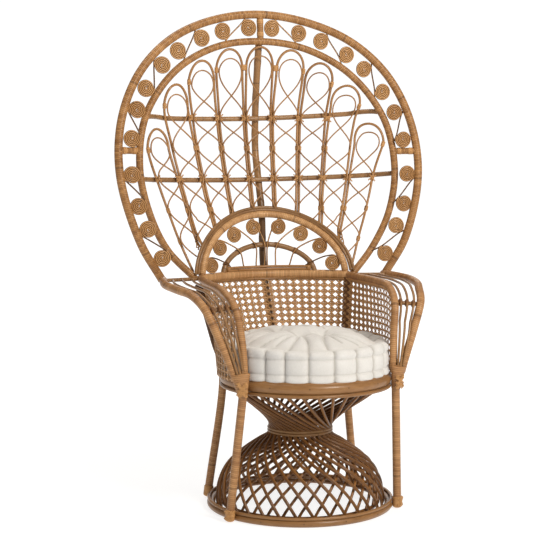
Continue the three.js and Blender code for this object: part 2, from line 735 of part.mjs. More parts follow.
// What stands on the rim from outside ends at this ellipse, just outside the middle of the outer edging rod
const rimOutside = edgingFirst + edgingPitch + edgingRod / 4;
function rimCutter() {
  const outline = new THREE.Shape();
  outline.absellipse(0, 0, rimHalf + rimOutside, rimRise + rimOutside, 0, turn);
  const settings = { depth: sillBack, curveSegments: 16, bevelEnabled: false };
  const block = new THREE.ExtrudeGeometry(outline, settings);
  block.rotateX(Math.PI / 2);
  block.translate(0, sillBack + sillSweep, sillHeight);
  return solidFrom(block);
}
const rimBlock = rimCutter();

// Fretwork inside the rim: a small arch, and scrolls under the rim whose tails cross it down to the sill
const crossingShares = [0.035, 0.245, 0.626, 0.925];
const tailShares = [1, 0.87, 0.81, 0.9];
function smallScrollSeat(k, side) {
  const inset = (rimPole + smallScroll) / 2 + jointGap;
  const angle = smallScrollFirst + k * smallScrollStep;
  const x = side * (rimHalf - inset) * Math.sin(angle);
  const centre = onPanel(x, sillHeight + (rimRise - inset) * Math.cos(angle));
  for (let pass = 0; pass < 3; pass += 1) {
    const near = rim.nearest(centre);
    const away = centre.clone().sub(near);
    centre.copy(near).addScaledVector(away.normalize(), inset + jointGap);
  }
  return centre.addScaledVector(scrollFacing, smallScrollForward);
}
function fretwork() {
  const arch = new Pole(rimRoute(smallArchHalf, smallArchRise), smallArchPole, 6, 8);
  const pieces = [arch.body];
  const lift = -(smallArchPole + spokeRod) / 2 + jointGap;
  for (const side of [-1, 1]) {
    for (let k = 0; k < smallScrolls; k += 1) {
      const centre = smallScrollSeat(k, side);
      const facing = backNormal(centre.x, centre.z);
      const towards = rim.nearest(centre).sub(centre).projectOnPlane(facing).normalize();
      pieces.push(disc(centre, facing, towards, smallScroll / 2));
      const crossX = side * smallArchHalf * crossingShares[k];
      const crossZ = ellipseHeight(crossX, smallArchHalf, smallArchRise);
      const tailX = crossX * tailShares[k];
      const top = centre.clone().add(at(0, 0, (smallScroll - spokeRod) / 2));
      const shoulder = at((centre.x * 2 + crossX) / 3, 0, lerp(top.z, crossZ, 0.25));
      const before = (x, z, depth) => onPanel(x, z).addScaledVector(backNormal(x, z), depth);
      const route = bend([
        top,
        before(shoulder.x, shoulder.z, lift / 2),
        before(crossX, crossZ, lift),
        before(tailX, sillBarHeight + (sillBarRod + spokeRod) / 2, -spokeRod / 2),
      ]);
      pieces.push(new Pole(route, spokeRod, 4, 6).body);
    }
  }
  return trimmed(joined(pieces), sill.seat, rim.seat);
}
addPiece('half_round_fretwork', fretwork(), amber);

// Fan. Its pairs of legs stand on lines that spread from the sill, counted in cells from the middle.
const fanShares = { spread: 0.323, bow: 0.0985 };
const fanPitch = innerHoopHalf * fanPitchShare;
const fanSpan = backRise * fanSpanShare;
const lowerRailHeight = sillHeight + backRise * lowerRailShare;
const lashPitch = backRise * lashShare;
const edgeFoot = sillHeight + edgeFootRise;
function fanLine(count, z) {
  const rise = (z - lowerRailHeight) / fanSpan;
  return count * fanPitch * (1 + fanShares.spread * rise - fanShares.bow * rise ** 2);
}
const besideLine = (archRod + jointGap) / 2;
const archLegShare = 0.3;
function footOf(count) {
  let low = edgeFoot;
  let high = sillHeight + rimRise;
  for (let pass = 0; pass < 30; pass += 1) {
    const z = (low + high) / 2;
    if (ellipseHeight(fanLine(count, z), rimHalf, rimRise) > z) low = z;
    else high = z;
  }
  return low;
}
function archRoute(cell, top) {
  const spring = top - archRise;
  const spread = (z) => Math.sign(cell) * archSpread * smoothstep(z, spring - 2 * archRise, spring);
  const left = (z) => fanLine(cell - 0.5, z) + besideLine + spread(z);
  const right = (z) => fanLine(cell + 0.5, z) - besideLine + spread(z);
  const middle = (left(spring) + right(spring)) / 2;
  const half = (right(spring) - left(spring)) / 2;
  const leftFoot = footOf(cell - 0.5);
  const rightFoot = footOf(cell + 0.5);
  return new Route((share) => {
    if (share < archLegShare) {
      const z = lerp(leftFoot, spring, share / archLegShare);
      return onFan(left(z), z);
    }
    if (share > 1 - archLegShare) {
      const z = lerp(rightFoot, spring, (1 - share) / archLegShare);
      return onFan(right(z), z);
    }
    const angle = lerp(-Math.PI / 2, Math.PI / 2, (share - archLegShare) / (1 - 2 * archLegShare));
    return onFan(middle + half * Math.sin(angle), spring + archRise * Math.cos(angle));
  });
}

// Heights of the arches as shares of the inner hoop's, from left to right
const archTopShares = [0.6206, 0.8076, 0.9106, 0.9634, 0.977, 0.9648, 0.9106, 0.8144, 0.6496];
const archSteps = 20;
const archSides = 5;
const loopSides = 3;
const archTop = (k) => sillHeight + (backRise - innerHoopDrop) * archTopShares[k];
const fanCells = Array.from({ length: cells }, (_, k) => k - (cells - 1) / 2);
const arches = fanCells.map((cell, k) => {
  const top = archTop(k);
  return { cell, top, pole: new Pole(archRoute(cell, top), archRod, archSides, archSteps) };
});
for (const { cell, pole } of arches) {
  const arch = trimmed(pole.body, innerHoop.seat, rimBlock, edgings[1].seat);
  addPiece(`fan_arch_${cell + (cells + 1) / 2}`, arch, honey);
}

// A thin loop hangs in each arch. Its two legs pass from one side of the cell to the other at every lashing.
const flatShare = (sides) => Math.cos(Math.PI / sides);
const loopReach = (archRod * flatShare(archSides) + loopRod * flatShare(loopSides)) / 2 + 3 * jointGap;
const loopFoot = edgeFoot + 4 * loopRod;
const loopCrossing = loopRod + jointGap;
const loopSide = (loopRod + jointGap) / 2 + jointGap;
const loopSteps = 22;
const loopWidthShare = 0.82;
const loopWidenShare = 0.3;
const loopArchSteps = 4;
const lashLevels = Array.from({ length: 6 }, (_, k) => lowerRailHeight + (2 - k) * lashPitch);
function loopRoute(cell, top) {
  const peak = top - loopDrop;
  const widest = top - loopWidestDrop;
  const levels = [widest, ...lashLevels.filter((level) => level < widest - lashPitch / 2)];
  const crossings = (z) => {
    let k = 0;
    while (k < levels.length - 2 && z < levels[k + 1]) k += 1;
    return k + (levels[k] - z) / (levels[k] - levels[k + 1]);
  };
  const place = (z, lateral, depth) => {
    const spread = Math.sign(cell) * archSpread * smoothstep(z, top - 3 * archRise, top - archRise);
    const left = fanLine(cell - 0.5, z) + loopSide;
    const right = fanLine(cell + 0.5, z) - loopSide;
    return onFan(lerp(left, right, (1 + lateral) / 2) + spread, z, -depth);
  };
  const end = (way) => {
    let z = widest;
    const swing = () => (1 + way * Math.cos(Math.PI * crossings(z))) / 2;
    const x = () => lerp(fanLine(cell - 0.5, z), fanLine(cell + 0.5, z), swing());
    while (z > loopFoot && z > ellipseHeight(x(), rimHalf, rimRise)) z -= loopRod / 2;
    return z;
  };
  const ends = { left: end(-1), right: end(1) };
  const archShare = loopArchSteps / loopSteps;
  return new Route((share) => {
    const legShare = (1 - archShare) / 2;
    if (share < legShare || share > 1 - legShare) {
      const way = share < legShare ? -1 : 1;
      const down = share < legShare ? 1 - share / legShare : (share - 1 + legShare) / legShare;
      const z = lerp(widest, way < 0 ? ends.left : ends.right, down);
      const fill = lerp(loopWidthShare, 1, smoothstep(down, 0, loopWidenShare));
      const depth = way < 0 ? loopReach : loopReach + loopCrossing;
      return place(z, way * fill * Math.cos(Math.PI * crossings(z)), depth);
    }
    const angle = lerp(-Math.PI / 2, Math.PI / 2, (share - legShare) / archShare);
    const depth = loopReach + loopCrossing * smoothstep(Math.sin(angle), -1, 1);
    return place(widest + (peak - widest) * Math.cos(angle), loopWidthShare * Math.sin(angle), depth);
  });
}
for (const { cell, top, pole } of arches) {
  const rod = new Pole(loopRoute(cell, top), loopRod, loopSides, loopSteps);
  const loop = trimmed(rod.body, pole.seat, rimBlock, edgings[1].seat);
  addPiece(`fan_loop_${cell + (cells + 1) / 2}`, loop, amber);
}

// Cross rails behind the arches, which come forward at their ends into the inner hoop
const railDepth = (archRod + railPole) / 2 + 4 * jointGap;
function railRouteAt(height, [leftRise, rightRise]) {
  const left = hoopAtHeight(innerHoop, height + leftRise, -1);
  const right = hoopAtHeight(innerHoop, height + rightRise, 1);
  const tilt = (rightRise - leftRise) / 2;
  const lift = (rightRise + leftRise) / 2;
  return new Route((share) => {
    const x = lerp(left.x, right.x, share);
    const aside = 2 * share - 1;
    const fromEnd = Math.min(share, 1 - share) * (right.x - left.x);
    const depth = railDepth * smoothstep(fromEnd, -innerHoopPole, innerHoopPole);
    return onFan(x, height + tilt * aside + lift * aside ** 2, depth);
  });
}
const upperRailHeight = lowerRailHeight + 2 * lashPitch;
const rails = [[lowerRailHeight, lowerRailEnds], [upperRailHeight, upperRailEnds]].map(([height, ends]) =>
  new Pole(railRouteAt(height, ends), railPole, 6, crossRailSteps));
addPiece('cross_rail_lower', trimmed(rails[0].body, innerHoop.seat), brown);
addPiece('cross_rail_upper', trimmed(rails[1].body, innerHoop.seat), brown);

// Centre post: from the inner hoop down behind the rails, the half-round and the sill to the seat ring
const caneFacet = Math.cos((Math.PI - caneFront) / caneColumns);
const caneFoot = (seatRadius + jointGap + caneThickness / 2) / caneFacet;
const postFootY = caneFoot + (caneThickness + postPole) / 2 + jointGap - seatForward;
const postBehindRails = railDepth + (railPole + postPole) / 2 + jointGap;
const postBehindRim = (rimPole + postPole) / 2 + jointGap;
const postTopShare = 0.85;
const postRoute = bend([
  onFan(0, sillHeight + backRise - innerHoopDrop, (archRod + postPole) / 2 + 2 * jointGap),
  onFan(0, upperRailHeight + lashPitch, postBehindRails * postTopShare),
  onFan(0, upperRailHeight, postBehindRails),
  onFan(0, lowerRailHeight + lashPitch, postBehindRails + postBow),
  onFan(0, lowerRailHeight, postBehindRails),
  onFan(0, sillHeight + rimRise, postBehindRim),
  onFan(0, sillHeight + sillPole, postBehindRim),
  at(0, postFootY, seatTop - seatRingHeight / 2),
  at(0, postFootY - jointGap, seatBottom),
]);
const post = new Pole(postRoute, postPole, 6, 16);
const postSeats = [innerHoop, sill, ...rails, rim].map((pole) => pole.seat);
addPiece('back_post', trimmed(post.body, ...postSeats), brown);

// Woven wall round the seat: a sheet with diamond holes between the arms, the sill and the seat ring
const caneRailShares = [0.36, 0.46, 0.56, 0.66, 0.76, 0.86, 0.96];
const caneSillShares = [0.96, 0.845, 0.73, 0.615, 0.5, 0.385, 0.27, 0.155, 0.04];
function caneRoute() {
  const right = arms[1].inner.route;
  const railTop = caneRailShares.map((share) => right.getPointAt(share));
  const sillTop = caneSillShares.map((share) => sill.route.getPointAt(share));
  const leftTop = railTop.slice().reverse().map((point) => point.clone().multiply(at(-1, 1, 1)));
  return bend([...railTop, ...sillTop, ...leftTop].map((point) => point.clone().sub(at(0, 0, caneTuck))));
}
const caneTop = caneRoute();
const caneBottom = new Route((share) => {
  const angle = lerp(caneFront, turn - caneFront, share);
  return at(caneFoot * Math.sin(angle), -caneFoot * Math.cos(angle) - seatForward, seatTop - caneOverlap);
});
const caneStepShare = 0.01;
function canePlace(share, rise, layer) {
  const low = caneBottom.getPointAt(share);
  const high = caneTop.getPointAt(share);
  const before = caneBottom.getPointAt(Math.max(0, share - caneStepShare));
  const ahead = caneBottom.getPointAt(Math.min(1, share + caneStepShare)).sub(before);
  const outwards = ahead.cross(high.clone().sub(low)).normalize();
  return low.lerp(high, rise).addScaledVector(outwards, layer * caneThickness / 2);
}
function caneWall() {
  const places = [];
  const index = new Map();
  const faces = [];
  const corner = (column, row, layer) => {
    const key = `${column} ${row} ${layer}`;
    if (!index.has(key)) {
      index.set(key, places.length);
      places.push(canePlace(column / caneColumns, row / caneRows, layer));
    }
    return index.get(key);
  };
  const quad = (a, b, c, d) => faces.push(a, b, c, a, c, d);
  for (let column = 0; column < caneColumns; column += 1) {
    for (let row = 0; row < caneRows; row += 1) {
      const frame = [[0, 0], [1, 0], [1, 1], [0, 1]];
      const inset = (1 - caneHoleShare) / 2;
      const hole = [[0.5, inset], [1 - inset, 0.5], [0.5, 1 - inset], [inset, 0.5]];
      for (const layer of [-1, 1]) {
        const outer = frame.map(([u, v]) => corner(column + u, row + v, layer));
        const inner = hole.map(([u, v]) => corner(column + u, row + v, layer));
        for (let k = 0; k < 4; k += 1) {
          const next = (k + 1) % 4;
          const strip = [[outer[k], outer[next], inner[k]], [outer[next], inner[next], inner[k]]];
          for (const [a, b, c] of strip) faces.push(...(layer > 0 ? [a, b, c] : [a, c, b]));
        }
      }
      for (let k = 0; k < 4; k += 1) {
        const next = (k + 1) % 4;
        const [u, v] = hole[k];
        const [s, t] = hole[next];
        quad(corner(column + u, row + v, 1), corner(column + s, row + t, 1),
          corner(column + s, row + t, -1), corner(column + u, row + v, -1));
      }
    }
  }
  for (let column = 0; column < caneColumns; column += 1) {
    quad(corner(column, 0, -1), corner(column + 1, 0, -1), corner(column + 1, 0, 1), corner(column, 0, 1));
    quad(corner(column, caneRows, 1), corner(column + 1, caneRows, 1),
      corner(column + 1, caneRows, -1), corner(column, caneRows, -1));
  }
  for (let row = 0; row < caneRows; row += 1) {
    quad(corner(0, row, 1), corner(0, row + 1, 1), corner(0, row + 1, -1), corner(0, row, -1));
    quad(corner(caneColumns, row, -1), corner(caneColumns, row + 1, -1),
      corner(caneColumns, row + 1, 1), corner(caneColumns, row, 1));
  }
  const geometry = new THREE.BufferGeometry().setFromPoints(places);
  geometry.setIndex(faces);
  return solidFrom(geometry);
}

const innerSeats = arms.flatMap((arm) => [arm.inner.seat, arm.outer.seat]);
addPiece('cane_wall', trimmed(caneWall(), sill.seat, ...innerSeats, ...frontBarSeats), amber);

// Legs
for (const { side, body } of frontLegs) {
  addPiece(`front_leg_${sideName(side)}`, trimmed(body, seatRingSeat, baseRingSeat), honey);
}
// The rear legs run on above the seat ring as corner posts outside the woven wall, up to the ends of the sill
function cornerShare() {
  let best = 0;
  const far = (share) => caneTop.getPointAt(share).distanceTo(sillEnd);
  for (let k = 0; k <= 200; k += 1) if (far(k / 400) < far(best)) best = k / 400;
  return best;
}
const corner = cornerShare();
const cornerGap = 5.4;
const rearLegPlace = (rise) => canePlace(corner, rise, 1 + (legPole + cornerGap) / caneThickness);
const rearLegShares = [0, 0.3, 0.65, 0.97];
const rearLegSeat = rearLegPlace(0);
const rearLegBase = ringContact(baseRadius, rearLegAtBase, footReach, baseMiddle, 0);
for (const side of [-1, 1]) {
  const foot = onLine(rearLegBase, rearLegSeat, legFloorGap);
  const points = [foot, ...rearLegShares.map(rearLegPlace)].map((point) => point.multiply(at(side, 1, 1)));
  const seats = [baseRingSeat, sill.seat, ...innerRailSeats, ...rearBarSeats, innerHoop.seat];
  addPiece(`rear_leg_${sideName(side)}`, trimmed(wrappedLeg(bend(points), 8), ...seats), honey);
}

// Cushion: a round box cushion, drawn in at every tuft of its side and crowned above the edge roll
const crownShares = [
  [0, 0], [0.93, 0], [1, 0.16], [0.975, 0.5], [1, 0.84], [0.93, 1], [0.72, 1.08], [0.4, 1.2], [0, 1.26],
];
function cushion() {
  const columns = 2 * cushionPanels;
  const places = [];
  const faces = [];
  const floor = seatTop + jointGap;
  crownShares.forEach(([out, high], row) => {
    const ends = out === 0;
    for (let column = 0; column < (ends ? 1 : columns); column += 1) {
      const angle = (column * turn) / columns;
      const tuft = column % 2 === 0 ? 1 : 0;
      const side = row > 1 && row < 6 ? cushionTuck * tuft : 0;
      const radius = cushionRadius * out - side;
      const sag = row > 4 && !ends ? cushionDimple * tuft * (1 - out / 2) : 0;
      const lift = Math.min(1, high) * cushionSide + Math.max(0, high - 1) * cushionCrown / 0.26;
      places.push(at(radius * Math.sin(angle), -radius * Math.cos(angle) - seatForward, floor + lift - sag));
    }
  });
  const first = (row) => (row === 0 ? 0 : 1 + (row - 1) * columns);
  const spot = (row, column) => first(row) + (crownShares[row][0] === 0 ? 0 : column % columns);
  for (let row = 1; row < crownShares.length; row += 1) {
    for (let column = 0; column < columns; column += 1) {
      const low = spot(row - 1, column);
      const lowNext = spot(row - 1, column + 1);
      const high = spot(row, column);
      const highNext = spot(row, column + 1);
      if (low !== lowNext) faces.push(low, lowNext, high);
      if (high !== highNext) faces.push(lowNext, highNext, high);
    }
  }
  const geometry = new THREE.BufferGeometry().setFromPoints(places);
  geometry.setIndex(faces);
  return solidFrom(geometry);
}
addPiece('cushion', cushion(), ecru);

// The origin is the bottom centre of the chair's box
const box = new THREE.Box3().setFromObject(chair);
const middle = box.getCenter(at(0, 0, 0));
chair.position.set(-middle.x, -middle.y, -box.min.z);

export default chair;
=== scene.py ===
"""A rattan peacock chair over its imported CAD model: wrapped poles, fan, scrolls, cane, twisted pedestal and cushion.

Places are worked out in millimetres in the CAD source's own frame and turned to metres when a mesh is made.
"""

from __future__ import annotations

import json
import logging
from collections.abc import Callable, Sequence
from dataclasses import dataclass, field
from enum import Enum
from functools import cache
from typing import ClassVar

import bpy
import numpy as np
from mathutils import Matrix

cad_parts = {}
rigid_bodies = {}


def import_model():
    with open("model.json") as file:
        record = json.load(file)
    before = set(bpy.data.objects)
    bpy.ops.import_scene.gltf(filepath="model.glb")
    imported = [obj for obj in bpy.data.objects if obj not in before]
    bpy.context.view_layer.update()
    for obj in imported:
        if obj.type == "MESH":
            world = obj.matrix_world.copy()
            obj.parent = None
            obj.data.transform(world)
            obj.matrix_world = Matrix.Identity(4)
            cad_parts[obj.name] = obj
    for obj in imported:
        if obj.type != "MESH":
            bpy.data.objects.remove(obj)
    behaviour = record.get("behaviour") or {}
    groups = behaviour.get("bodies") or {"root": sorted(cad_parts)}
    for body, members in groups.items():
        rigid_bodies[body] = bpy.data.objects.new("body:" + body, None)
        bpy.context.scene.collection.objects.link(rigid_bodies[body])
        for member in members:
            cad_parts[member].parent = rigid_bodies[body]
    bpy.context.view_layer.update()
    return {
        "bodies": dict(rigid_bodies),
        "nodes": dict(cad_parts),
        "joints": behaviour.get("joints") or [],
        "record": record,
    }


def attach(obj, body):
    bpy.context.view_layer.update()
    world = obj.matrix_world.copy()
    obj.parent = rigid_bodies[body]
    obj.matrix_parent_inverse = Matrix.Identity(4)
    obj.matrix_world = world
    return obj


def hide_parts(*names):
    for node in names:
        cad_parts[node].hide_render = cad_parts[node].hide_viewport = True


LOG = logging.getLogger("peacock_chair")
METRE = 0.001
SOURCE_SHIFT = np.array([0.0, -76.72, 0.0])
TURN = 2 * np.pi
AIR = 0.3
SEED = 7
CHAIR_BODY = "chair"
CUSHION_BODY = "cushion"
ALONG = "along"
CREASE = "crease"
TONE = "tone"
SIDES = ((-1, "left"), (1, "right"))
UP = np.array([0.0, 0.0, 1.0])
LEVEL = np.array([1, 1, 0])
TIP_WIDTHS = (0.5, 0.86)
TIP_REACHES = (0.3, 0.14)
RING_PLACES = 120
HOLD_LEVELS = 10
COVER_CLOTH = {
    "quality": 6,
    "mass": 0.15,
    "tension_stiffness": 12,
    "compression_stiffness": 12,
    "bending_stiffness": 0.4,
    "use_pressure": True,
    "uniform_pressure_force": 4.0,
    "pin_stiffness": 3.0,
}
SPIRAL_PLACES = 110
SPIRAL_GROWTH = 0.62

Array = np.ndarray
Number = np.ndarray | float
Socket = bpy.types.NodeSocket
Surface = Callable[[Array, Array], Array]


class Node(str, Enum):
    """The kinds of shader node that the finishes and the sky use."""

    ATTRIBUTE = "ShaderNodeAttribute"
    BACKGROUND = "ShaderNodeBackground"
    BUMP = "ShaderNodeBump"
    COMBINE = "ShaderNodeCombineXYZ"
    COORDINATES = "ShaderNodeTexCoord"
    LIGHT_PATH = "ShaderNodeLightPath"
    MAP = "ShaderNodeMapRange"
    MATH = "ShaderNodeMath"
    MIX = "ShaderNodeMix"
    NOISE = "ShaderNodeTexNoise"
    OUTPUT = "ShaderNodeOutputMaterial"
    SHADER = "ShaderNodeBsdfPrincipled"
    SPLIT = "ShaderNodeSeparateXYZ"
    UV = "ShaderNodeUVMap"
    VECTOR = "ShaderNodeVectorMath"
    WHITE_NOISE = "ShaderNodeTexWhiteNoise"
    WORLD = "ShaderNodeOutputWorld"


class Slot(str, Enum):
    """The record's material slots."""

    WRAPPED = "wrapped_rattan"
    POLE = "rattan_pole"
    CORE = "rattan_core"
    COTTON = "cushion_cotton"


def linear(colour: str) -> tuple[float, float, float, float]:
    """Turns an sRGB hex colour into Blender's linear RGBA.

    Args:
        colour: Six hex digits, such as "b98a57".

    Returns:
        Linear red, green, blue and an alpha of 1.
    """
    shares = np.array([int(colour[k : k + 2], 16) for k in (0, 2, 4)]) / 255
    low, high = shares / 12.92, ((shares + 0.055) / 1.055) ** 2.4
    return (*np.where(shares <= 0.04045, low, high).tolist(), 1.0)


def ease(value: Number, low: float, high: float) -> Array:
    """Smooth step: 0 below low, 1 above high, and 3t²-2t³ of the share t between.

    Args:
        value: What is compared.
        low: Where the step starts.
        high: Where the step ends.

    Returns:
        The eased share.
    """
    share = np.clip((np.asarray(value, float) - low) / (high - low), 0, 1)
    return share * share * (3 - 2 * share)


def blend(low: Number, high: Number, share: Number) -> Array:
    """Straight mix from low to high by share."""
    return low + (high - low) * np.asarray(share, float)


def unit(vectors: Array) -> Array:
    """Vectors brought to length 1 along their last axis."""
    return vectors / np.linalg.norm(vectors, axis=-1, keepdims=True)


def spots(*values: Number) -> Array:
    """Stacks x, y and z, each an array or one number, into an array of places."""
    return np.stack(np.broadcast_arrays(*[np.asarray(v, float) for v in values]), axis=-1)


def round_spots(
    radius: Number, angle: Number, height: Number, forward: Number = 0.0
) -> Array:
    """Places round an upright axis, by radius and angle from the front, moved forward as asked."""
    return spots(radius * np.sin(angle), -radius * np.cos(angle) - forward, height)


def mirrored(points: Array, side: int) -> Array:
    """Places of the right-hand side, or their mirror image for side -1."""
    return points * np.array([side, 1, 1])


def spline(points: Sequence, even: bool = False, per_span: int = 20) -> Array:
    """A smooth curve through points: a cubic per gap whose end slopes come from the neighbours.

    With even False each gap counts by the root of its length (centripetal Catmull-Rom), else all count alike.

    Args:
        points: Places, each of two or three numbers.
        even: Whether all gaps count alike.
        per_span: Steps in each gap.

    Returns:
        The curve's places, in order.
    """
    p = np.asarray(points, float)
    first, last = (p[:1], p[-1:]) if even else (2 * p[:1] - p[1:2], 2 * p[-1:] - p[-2:-1])
    p = np.concatenate([first, p, last])
    a, b, c, d = p[:-3], p[1:-2], p[2:-1], p[3:]
    if even:
        leave, arrive = (c - a) / 2, (d - b) / 2
    else:
        gap = [np.sqrt(np.linalg.norm(v, axis=1, keepdims=True)) for v in (b - a, c - b, d - c)]
        leave = ((b - a) / gap[0] - (c - a) / (gap[0] + gap[1]) + (c - b) / gap[1]) * gap[1]
        arrive = ((c - b) / gap[1] - (d - b) / (gap[1] + gap[2]) + (d - c) / gap[2]) * gap[1]
    t = np.linspace(0, 1, per_span, endpoint=False)[None, :, None]
    b, c, leave, arrive = b[:, None], c[:, None], leave[:, None], arrive[:, None]
    curve = b + leave * t + (3 * (c - b) - 2 * leave - arrive) * t**2 + (2 * (b - c) + leave + arrive) * t**3
    return np.concatenate([curve.reshape(-1, p.shape[1]), p[-2:-1]])


class Line:
    """A route whose places are found by their share of its length."""

    def __init__(self, points: Array) -> None:
        """Keeps the points and the length run up to each."""
        self.points = np.asarray(points, float)
        steps = np.linalg.norm(np.diff(self.points, axis=0), axis=1)
        self.runs = np.concatenate([[0], np.cumsum(steps)])

    @property
    def length(self) -> float:
        """The whole length."""
        return float(self.runs[-1])

    def at(self, share: Number) -> Array:
        """Places at shares of the length."""
        run = np.asarray(share, float) * self.length
        return np.stack([np.interp(run, self.runs, column) for column in self.points.T], axis=-1)

    def heading(self, share: Number) -> Array:
        """Unit directions of travel at shares of the length."""
        step = 2e-3
        share = np.asarray(share, float)
        return unit(self.at(np.clip(share + step, 0, 1)) - self.at(np.clip(share - step, 0, 1)))

    def cut(self, start: float, end: float, count: int) -> Array:
        """Evenly spaced places between two shares."""
        return self.at(np.linspace(start, end, count))

    def nearest(self, place: Array) -> Array:
        """The kept point that lies nearest to a place."""
        return self.points[np.argmin(np.linalg.norm(self.points - place, axis=1))]

    def share_at_height(self, height: float, side: int) -> float:
        """The share where the route, counted from its foot on one side, first passes a height.

        Args:
            height: The height, in millimetres.
            side: -1 for the side where the route starts, 1 for the one where it ends.

        Returns:
            The share of the length.
        """
        heights = self.points[:, 2] if side < 0 else self.points[::-1, 2]
        k = int(np.argmax(heights > height))
        part = (height - heights[k - 1]) / (heights[k] - heights[k - 1])
        runs = self.runs if side < 0 else self.length - self.runs[::-1]
        share = (runs[k - 1] + part * (runs[k] - runs[k - 1])) / self.length
        return float(share if side < 0 else 1 - share)


@dataclass
class Strands:
    """Rods, strips and windings gathered into one mesh.

    Each is a grid of places that closes round. The UV map "along" holds the share round it and the metres along it,
    and the point attribute "tone" one number per strand, for the colour that differs from rod to rod.
    """

    random: np.random.Generator = field(default_factory=lambda: np.random.default_rng(SEED))
    places: list[Array] = field(default_factory=list)
    tones: list[Array] = field(default_factory=list)
    quads: list[Array] = field(default_factory=list)
    quad_uvs: list[Array] = field(default_factory=list)
    caps: list[Array] = field(default_factory=list)
    cap_uvs: list[Array] = field(default_factory=list)
    count: int = 0

    def grid(
        self,
        places: Array,
        along: Array,
        closed: bool = False,
        tone: float | None = None,
    ) -> None:
        """Adds a grid of quads whose columns close round, and whose ends are joined or capped.

        Args:
            places: Rows by columns by three, in millimetres.
            along: Millimetres run at each row, with one more where closed.
            closed: Whether the last row joins the first.
            tone: The strand's tone from 0 to 1, drawn at random where none is given.
        """
        rows, columns = places.shape[:2]
        index = self.count + np.arange(rows * columns).reshape(rows, columns)
        wide = np.concatenate([index, index[:, :1]], axis=1)
        tall = np.concatenate([wide, wide[:1]], axis=0) if closed else wide
        quads = np.stack([tall[:-1, :-1], tall[:-1, 1:], tall[1:, 1:], tall[1:, :-1]], axis=-1)
        u, v = np.meshgrid(np.arange(columns + 1) / columns, along * METRE)
        uv = np.stack([u, v], axis=-1)
        quad_uv = np.stack([uv[:-1, :-1], uv[:-1, 1:], uv[1:, 1:], uv[1:, :-1]], axis=-2)
        self.places.append(places.reshape(-1, 3))
        self.quads.append(quads.reshape(-1, 4))
        self.quad_uvs.append(quad_uv.reshape(-1, 4, 2))
        chosen = float(self.random.random()) if tone is None else tone
        self.tones.append(np.full(rows * columns, chosen))
        if not closed:
            for row, order in ((0, -1), (-1, 1)):
                self.caps.append(index[row, ::order])
                self.cap_uvs.append(np.full((columns, 2), [0.5, along[row] * METRE]))
        self.count += rows * columns

    def rod(
        self,
        route: Array,
        radius: Number,
        sides: int = 8,
        thickness: Number | None = None,
        facing: Array | None = None,
        closed: bool = False,
        tone: float | None = None,
    ) -> None:
        """Adds a rod: an ellipse carried along a route, its ends rounded over.

        A ring's places are route + cos a * thickness * facing + sin a * radius * side, with a going once round.

        Args:
            route: The middle line's places, in millimetres.
            radius: Half the width, one number or one per place.
            sides: Faces round the rod.
            thickness: Half the size in the facing direction, where it differs from radius.
            facing: The direction of the section's first axis, one or one per place.
            closed: Whether the route is a ring without ends.
            tone: The strand's tone.
        """
        route = np.asarray(route, float)
        if closed:
            heading = unit(np.roll(route, -1, axis=0) - np.roll(route, 1, axis=0))
            steps = np.linalg.norm(np.roll(route, -1, axis=0) - route, axis=1)
            along = np.concatenate([[0], np.cumsum(steps)])
        else:
            heading = unit(np.gradient(route, axis=0))
            along = Line(route).runs
        if facing is None:
            facing = np.linalg.eigh(heading.T @ heading)[1][:, 0]
        facing = np.broadcast_to(np.asarray(facing, float), route.shape)
        facing = unit(facing - np.sum(facing * heading, axis=1, keepdims=True) * heading)
        side = np.cross(heading, facing)
        wide = np.broadcast_to(np.asarray(radius, float), len(route)).copy()
        deep = wide.copy() if thickness is None else np.broadcast_to(np.asarray(thickness, float), len(route)).copy()
        if not closed:
            ends = [0, 0, *range(len(route)), -1, -1]
            scale = np.array([*TIP_WIDTHS, *[1] * len(route), *TIP_WIDTHS[::-1]])
            push = np.array([*np.negative(TIP_REACHES), *[0] * len(route), *TIP_REACHES[::-1]])
            push = push * np.minimum(wide, deep)[ends]
            route = route[ends] + push[:, None] * heading[ends]
            heading, facing, side, along = heading[ends], facing[ends], side[ends], along[ends] + push
            wide, deep = wide[ends] * scale, deep[ends] * scale
        angle = np.arange(sides) / sides * TURN
        ring = (
            route[:, None]
            + (deep[:, None] * np.cos(angle))[..., None] * facing[:, None]
            + (wide[:, None] * np.sin(angle))[..., None] * side[:, None]
        )
        self.grid(ring, along, closed, tone)

    def coil(
        self,
        centre: Array,
        axis: Array,
        across: Array,
        half_across: float,
        half_other: float,
        length: float,
        turns: int,
        strip: float = 0.9,
        sides: int = 12,
    ) -> None:
        """Adds turns of peel wound tightly round a bundle of rods: an oval tube whose width swells once per turn.

        Args:
            centre: The middle of the winding.
            axis: The direction of the bundle.
            across: The direction in which half_across is measured.
            half_across: Half the bundle's size that way.
            half_other: Half its size the other way.
            length: Length of the winding along the bundle.
            turns: Turns of peel.
            strip: How far the peel stands out.
            sides: Faces round the winding.
        """
        count = 4 * turns + 1
        share = np.linspace(0, 1, count)
        swell = strip * (0.35 + 0.65 * np.abs(np.sin(np.pi * turns * share)))
        axis = unit(np.asarray(axis, float))
        route = np.asarray(centre, float) + (share[:, None] - 0.5) * length * axis
        self.rod(route, half_other + swell, sides, half_across + swell, facing=across)

